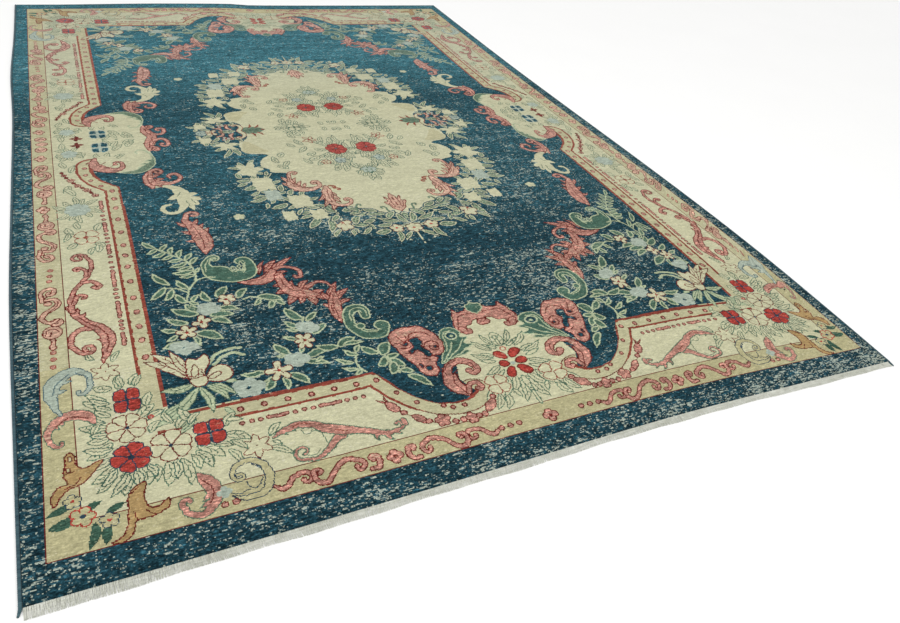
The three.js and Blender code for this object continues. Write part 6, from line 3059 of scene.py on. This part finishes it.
@dataclass
class Cord:
    """A cord of oval section, overcast with yarn whose turns stand as ridges."""

    name: str
    route: np.ndarray
    width: float
    height: float
    finish: YarnFinish
    node: str
    slot: str
    wrap: float = 0.004
    sides: int = 8
    ridge: float = 0.07
    slant: float = 0.0009
    uneven: float = 0.012
    seed: int = 3

    def build(self, girths: np.ndarray | None = None) -> bpy.types.Object:
        """Makes the cord.

        Args:
            girths: the share of its full section along the route, 1 all along if left out.

        Returns:
            The piece, which replaces its CAD node.
        """
        run = np.concatenate([[0], np.cumsum(np.linalg.norm(np.diff(self.route, axis=0), axis=1))])
        count = int(run[-1] / self.wrap) * 2
        at = np.linspace(0, run[-1], count + 1)
        spine = np.stack([np.interp(at, run, self.route[:, axis]) for axis in range(3)], axis=1)
        girth = np.ones(count + 1) if girths is None else np.interp(at, run, girths)
        way = np.gradient(spine, axis=0)
        way[:, 2] = 0
        way /= np.linalg.norm(way, axis=1)[:, None]
        side = np.stack([way[:, 1], -way[:, 0], np.zeros(count + 1)], axis=1)
        dice = np.random.default_rng(self.seed)
        swell = girth * (
            1 + self.ridge * (np.arange(count + 1) % 2 - 1) + dice.normal(0, self.uneven, count + 1)
        )
        angles = 2 * math.pi * (np.arange(self.sides) + 0.5) / self.sides
        rings = []
        for angle in angles:
            out = math.cos(angle) * self.width / 2 * swell
            up = (1 + math.sin(angle)) * self.height / 2 * swell
            lean = math.sin(angle + 0.6) * self.slant
            ring = spine + side * out[:, None] + way * lean
            ring[:, 2] += up
            rings.append(ring)
        points = np.stack(rings, axis=1).reshape(-1, 3)
        faces = tube_faces(count, self.sides)
        ends = []
        for first in (0, count * self.sides):
            loop = first + np.arange(self.sides)
            loop = loop[::-1] if first == 0 else loop
            ends += [[loop[0], loop[i], loop[i + 1], loop[i + 2]] for i in range(1, self.sides - 2, 2)]
        along = np.repeat(np.linspace(0, 1, count + 1), self.sides)
        around = np.tile(np.arange(self.sides) / self.sides, count + 1)
        uv = np.stack([along, around], axis=1)
        obj = make_mesh(self.name, points, np.vstack([faces, ends]), {"turns": uv})
        obj.data.materials.append(self.finish.material())
        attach(obj, "root")
        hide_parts(self.node)
        return report(obj)


@dataclass
class Edges:
    """What finishes three of the edges: the two side cords and the far binding."""

    bed: Bed
    gap: float = 0.0003
    selvedge: Point = (0.007, 0.0054)
    binding: Point = (0.005, 0.0052)
    tails: tuple[Point, Point] = ((0.013, 0.0036), (0.016, 0.0006))
    thinning: float = 0.45
    wrap: float = 0.004
    along: int = 217
    across: int = 145
    tail_steps: int = 6

    def side(self, side: Hand) -> bpy.types.Object:
        """Makes the overcast cord of one side, with its tail past the near end.

        Args:
            side: which side it is.

        Returns:
            The piece.
        """
        left = side is Hand.LEFT
        hand, u = side.value, (0.0 if left else 1.0)
        v = np.linspace(0, 1, self.along)
        edge = self.bed.on(self.bed.base, np.full(self.along, u), v)
        route = edge + (hand * (self.gap + self.selvedge[0] / 2), 0, 0)
        route[:, 2] = 0.0
        route[-1, 1] += self.gap + self.binding[0]
        length, out = self.tails[0 if left else 1]
        past = np.linspace(1, 0, self.tail_steps + 1)[:-1, None]
        tail = route[0] + past * (hand * out, -length, 0)
        girths = np.concatenate([1 - self.thinning * past[:, 0], np.ones(self.along)])
        name = "selvedge_cord_left" if left else "selvedge_cord_right"
        finish = YarnFinish(f"overcast_{name}", (30, 58, 70), (78, 106, 112), self.wrap, Direction.ALONG)
        cord = Cord(
            name, np.vstack([tail, route]), *self.selvedge, finish,
            "selvedge_left" if left else "selvedge_right", "selvedge_wool", seed=3 if left else 4,
        )
        return cord.build(girths)

    def far_end(self) -> bpy.types.Object:
        """Makes the overcast cord of the far end.

        Returns:
            The piece.
        """
        u = np.linspace(0, 1, self.across)
        route = self.bed.on(self.bed.base, u, np.ones(self.across)) + (0, self.gap + self.binding[0] / 2, 0)
        finish = YarnFinish("overcast_far_end", (48, 70, 80), (88, 112, 118), self.wrap, Direction.ACROSS)
        return Cord(
            "far_binding", route, *self.binding, finish, "end_binding", "binding_wool", seed=5,
        ).build()


@dataclass
class Fringe:
    """The short cut warp ends of the near end, and the woven line that holds their roots."""

    bed: Bed
    threads: int = 2100
    reach: float = 0.0212
    girth: float = 0.0014
    sides: int = 3
    rise: float = 0.0021
    rings: int = 5
    seed: int = 11
    astray: float = 0.025  # the chance that an end lies loose
    stitches: int = 1200  # points along the woven line
    ripple: float = 0.0002
    profile: Points = (
        (0.0003, 0.0004), (0.0003, 0.0026), (0.0024, 0.0024), (0.0042, 0.0015), (0.0042, 0.0004),
    )
    cotton: YarnFinish = YarnFinish(
        "warp_cotton_ends", (200, 202, 188), (236, 237, 228), 0.003, Direction.ALONG,
    )

    def thread(self, u: float, dice: np.random.Generator) -> np.ndarray:
        """Finds the rings of one warp end, from its root to its cut tip.

        Args:
            u: where it stands, as a share of the width.
            dice: where the chances come from.

        Returns:
            The points of its rings, one row each.
        """
        root = self.bed.on(self.bed.base, np.array([u]), np.array([0.0]))[0]
        t = np.linspace(0, 1, self.rings)
        stray = dice.random() < self.astray
        fullness = 0.78 + 0.05 * math.sin(31 * u) + 0.04 * math.sin(87 * u + 1.0) + 0.25 * math.exp(-u * 6)
        length = self.reach * min(1.0, fullness * dice.uniform(0.93, 1.0)) * (
            dice.uniform(0.6, 1.0) if stray else 1.0
        )
        comb = 0.0022 * math.sin(8.2 * u + 0.4) + 0.0011 * math.sin(29.5 * u + 2.1)
        lean = comb * min(1, 60 * u, 60 * (1 - u)) + dice.normal(0, 0.003 if stray else 0.0007)
        x = root[0] + lean * t**1.6 + dice.normal(0, 0.0003) * np.sin(t * 5)
        y = root[1] - 0.0002 - length * t
        z = self.rise * (1 - t) ** 1.3 + 0.0007 + dice.uniform(0, 0.0005)
        half = self.girth / 2 * (1 - 0.25 * t) * dice.uniform(0.85, 1.15)
        turn = 2 * math.pi * (np.arange(self.sides) / self.sides + dice.random())
        points = np.zeros((self.rings, self.sides, 3))
        points[:, :, 0] = x[:, None] + half[:, None] * np.cos(turn)
        points[:, :, 1] = y[:, None]
        points[:, :, 2] = np.maximum(z[:, None] + half[:, None] * np.sin(turn), 0.0001)
        return points.reshape(-1, 3)

    def build(self) -> list[bpy.types.Object]:
        """Makes the threads as one piece, and the woven line as another.

        Returns:
            The pieces.
        """
        dice = np.random.default_rng(self.seed)
        spots = np.sort((np.arange(self.threads) + dice.uniform(0.1, 0.9, self.threads)) / self.threads)
        points = np.vstack([self.thread(float(u), dice) for u in spots])
        tube = tube_faces(self.rings - 1, self.sides)
        one = self.rings * self.sides
        cap = one - self.sides + np.arange(self.sides)
        loops = np.concatenate([tube.ravel(), cap])
        faces = (loops + one * np.arange(self.threads)[:, None]).ravel()
        counts = np.tile([4] * len(tube) + [self.sides], self.threads)
        along = np.tile(np.repeat(np.linspace(0, 1, self.rings), self.sides), self.threads)
        uv = np.stack([np.repeat(spots, one), along], axis=1)
        ends = make_mesh("warp_ends", points, faces, {"threads": uv, "OFBake": flat_uv(points)}, counts)
        ends.data.materials.append(self.cotton.material())
        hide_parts("fringe")
        pieces = [ends, self.woven_line()]
        for piece in pieces:
            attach(piece, "root")
            report(piece)
        return pieces

    def woven_line(self) -> bpy.types.Object:
        """Makes the narrow woven line, as two twined yarns between the pile and the warp ends.

        Returns:
            The piece.
        """
        u = np.linspace(0, 1, self.stitches)
        edge = self.bed.on(self.bed.base, u, np.zeros(self.stitches))
        twine = self.ripple * np.sin(np.arange(self.stitches) * math.pi / 2)
        rings = []
        for deep, high in self.profile:
            ring = edge - (0, deep, 0)
            ring[:, 2] += high + twine * (high > 0.001)
            rings.append(ring)
        points = np.stack(rings, axis=1).reshape(-1, 3)
        faces = np.roll(grid_faces(self.stitches, len(rings))[:, ::-1], 1, axis=1)
        obj = make_mesh("woven_line", points, faces, {"OFBake": flat_uv(points)})
        finish = YarnFinish("woven_line_cotton", (176, 176, 156), (206, 206, 188), 0.003, Direction.ACROSS)
        obj.data.materials.append(finish.material())
        return obj


@dataclass
class Studio:
    """The plain floor, the soft light and the camera at the photograph's angle."""

    corner: np.ndarray
    floor_size: float = 24.0
    place: tuple[float, float, float] = (0.21975, -0.78465, 1.12652)  # from the rug's near left corner
    right: tuple[float, float, float] = (0.90360, -0.41032, 0.12306)
    up: tuple[float, float, float] = (0.16279, 0.59463, 0.78734)
    ahead: tuple[float, float, float] = (0.39624, 0.69141, -0.60411)
    lens: float = 29.456  # millimetres, for a frame 36 wide
    surround: float = 0.95
    lamp_power: float = 20.0
    lamp_size: Point = (3.2, 2.4)
    lamp_at: tuple[float, float, float] = (-0.5, -1.5, 2.7)
    lamp_aim: tuple[float, float, float] = (0.1, -0.2, 0.0)

    def floor(self) -> None:
        """Lays the floor."""
        half = self.floor_size / 2
        points = np.array([(-half, -half, 0), (half, -half, 0), (half, half, 0), (-half, half, 0)], float)
        floor = make_mesh("studio_floor", points, np.array([[0, 1, 2, 3]]), {"UVMap": flat_uv(points)})
        material = bpy.data.materials.new("studio_floor_paint")
        material.use_nodes = True
        shader = material.node_tree.nodes["Principled BSDF"]
        bench = Nodes(material.node_tree)
        grain = bench.noise(bench.add("ShaderNodeTexCoord").outputs["Object"], 3.0, 3.0)
        bench.feed(
            shader.inputs["Base Color"], bench.mix(grain, linear((250, 250, 249)), linear((253, 253, 252)))
        )
        shader.inputs["Roughness"].default_value = 0.9
        shader.inputs["Specular IOR Level"].default_value = 0.1
        floor.data.materials.append(material)

    def light(self) -> None:
        """Lights the studio with an even white surround and one large soft lamp."""
        world = bpy.data.worlds.new("studio_surround")
        world.use_nodes = True
        background = world.node_tree.nodes["Background"]
        background.inputs["Color"].default_value = (1.0, 1.0, 1.0, 1.0)
        background.inputs["Strength"].default_value = self.surround
        bpy.context.scene.world = world
        lamp = bpy.data.lights.new("soft_lamp", "AREA")
        lamp.shape = "RECTANGLE"
        lamp.size, lamp.size_y = self.lamp_size
        lamp.energy = self.lamp_power
        lamp.color = (1.0, 0.99, 0.97)
        holder = bpy.data.objects.new("soft_lamp", lamp)
        bpy.context.scene.collection.objects.link(holder)
        holder.location = self.lamp_at
        aim = Vector(self.lamp_aim) - holder.location
        holder.rotation_euler = aim.to_track_quat("-Z", "Y").to_euler()

    def camera(self) -> None:
        """Puts the camera where the photograph was taken from."""
        data = bpy.data.cameras.new("camera")
        data.sensor_width = 36.0
        data.lens = self.lens
        data.clip_end = 100.0
        camera = bpy.data.objects.new("camera", data)
        bpy.context.scene.collection.objects.link(camera)
        turn = Matrix((self.right, self.up, tuple(-c for c in self.ahead))).transposed()
        camera.matrix_world = Matrix.Translation(Vector(self.corner) + Vector(self.place)) @ turn.to_4x4()
        bpy.context.scene.camera = camera

    def build(self) -> None:
        """Sets the studio up."""
        self.floor()
        self.light()
        self.camera()
        bpy.context.scene.view_settings.view_transform = "Standard"


def main() -> None:
    """Builds the rug and the studio, piece by piece."""
    logging.basicConfig(level=logging.INFO, format="%(name)s: %(message)s")
    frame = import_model()
    bed = Bed(frame["nodes"]["rug_body"])
    chart = draw_quarter()
    pile = Pile(bed, Blocks(chart), Wear(), FarSheen(), PileFinish()).build()
    back = Back(bed, chart)
    knotted = back.knotted_back(pile[0].data.materials)
    foundation = back.foundation(
        YarnFinish("foundation_cotton", (186, 182, 160), (206, 204, 186), 0.003, Direction.ACROSS)
    )
    edges = Edges(bed)
    trims = [edges.side(Hand.LEFT), edges.side(Hand.RIGHT), edges.far_end(), *Fringe(bed).build()]
    Studio(bed.top[0, 0]).build()


if __name__ == "__main__":
    main()
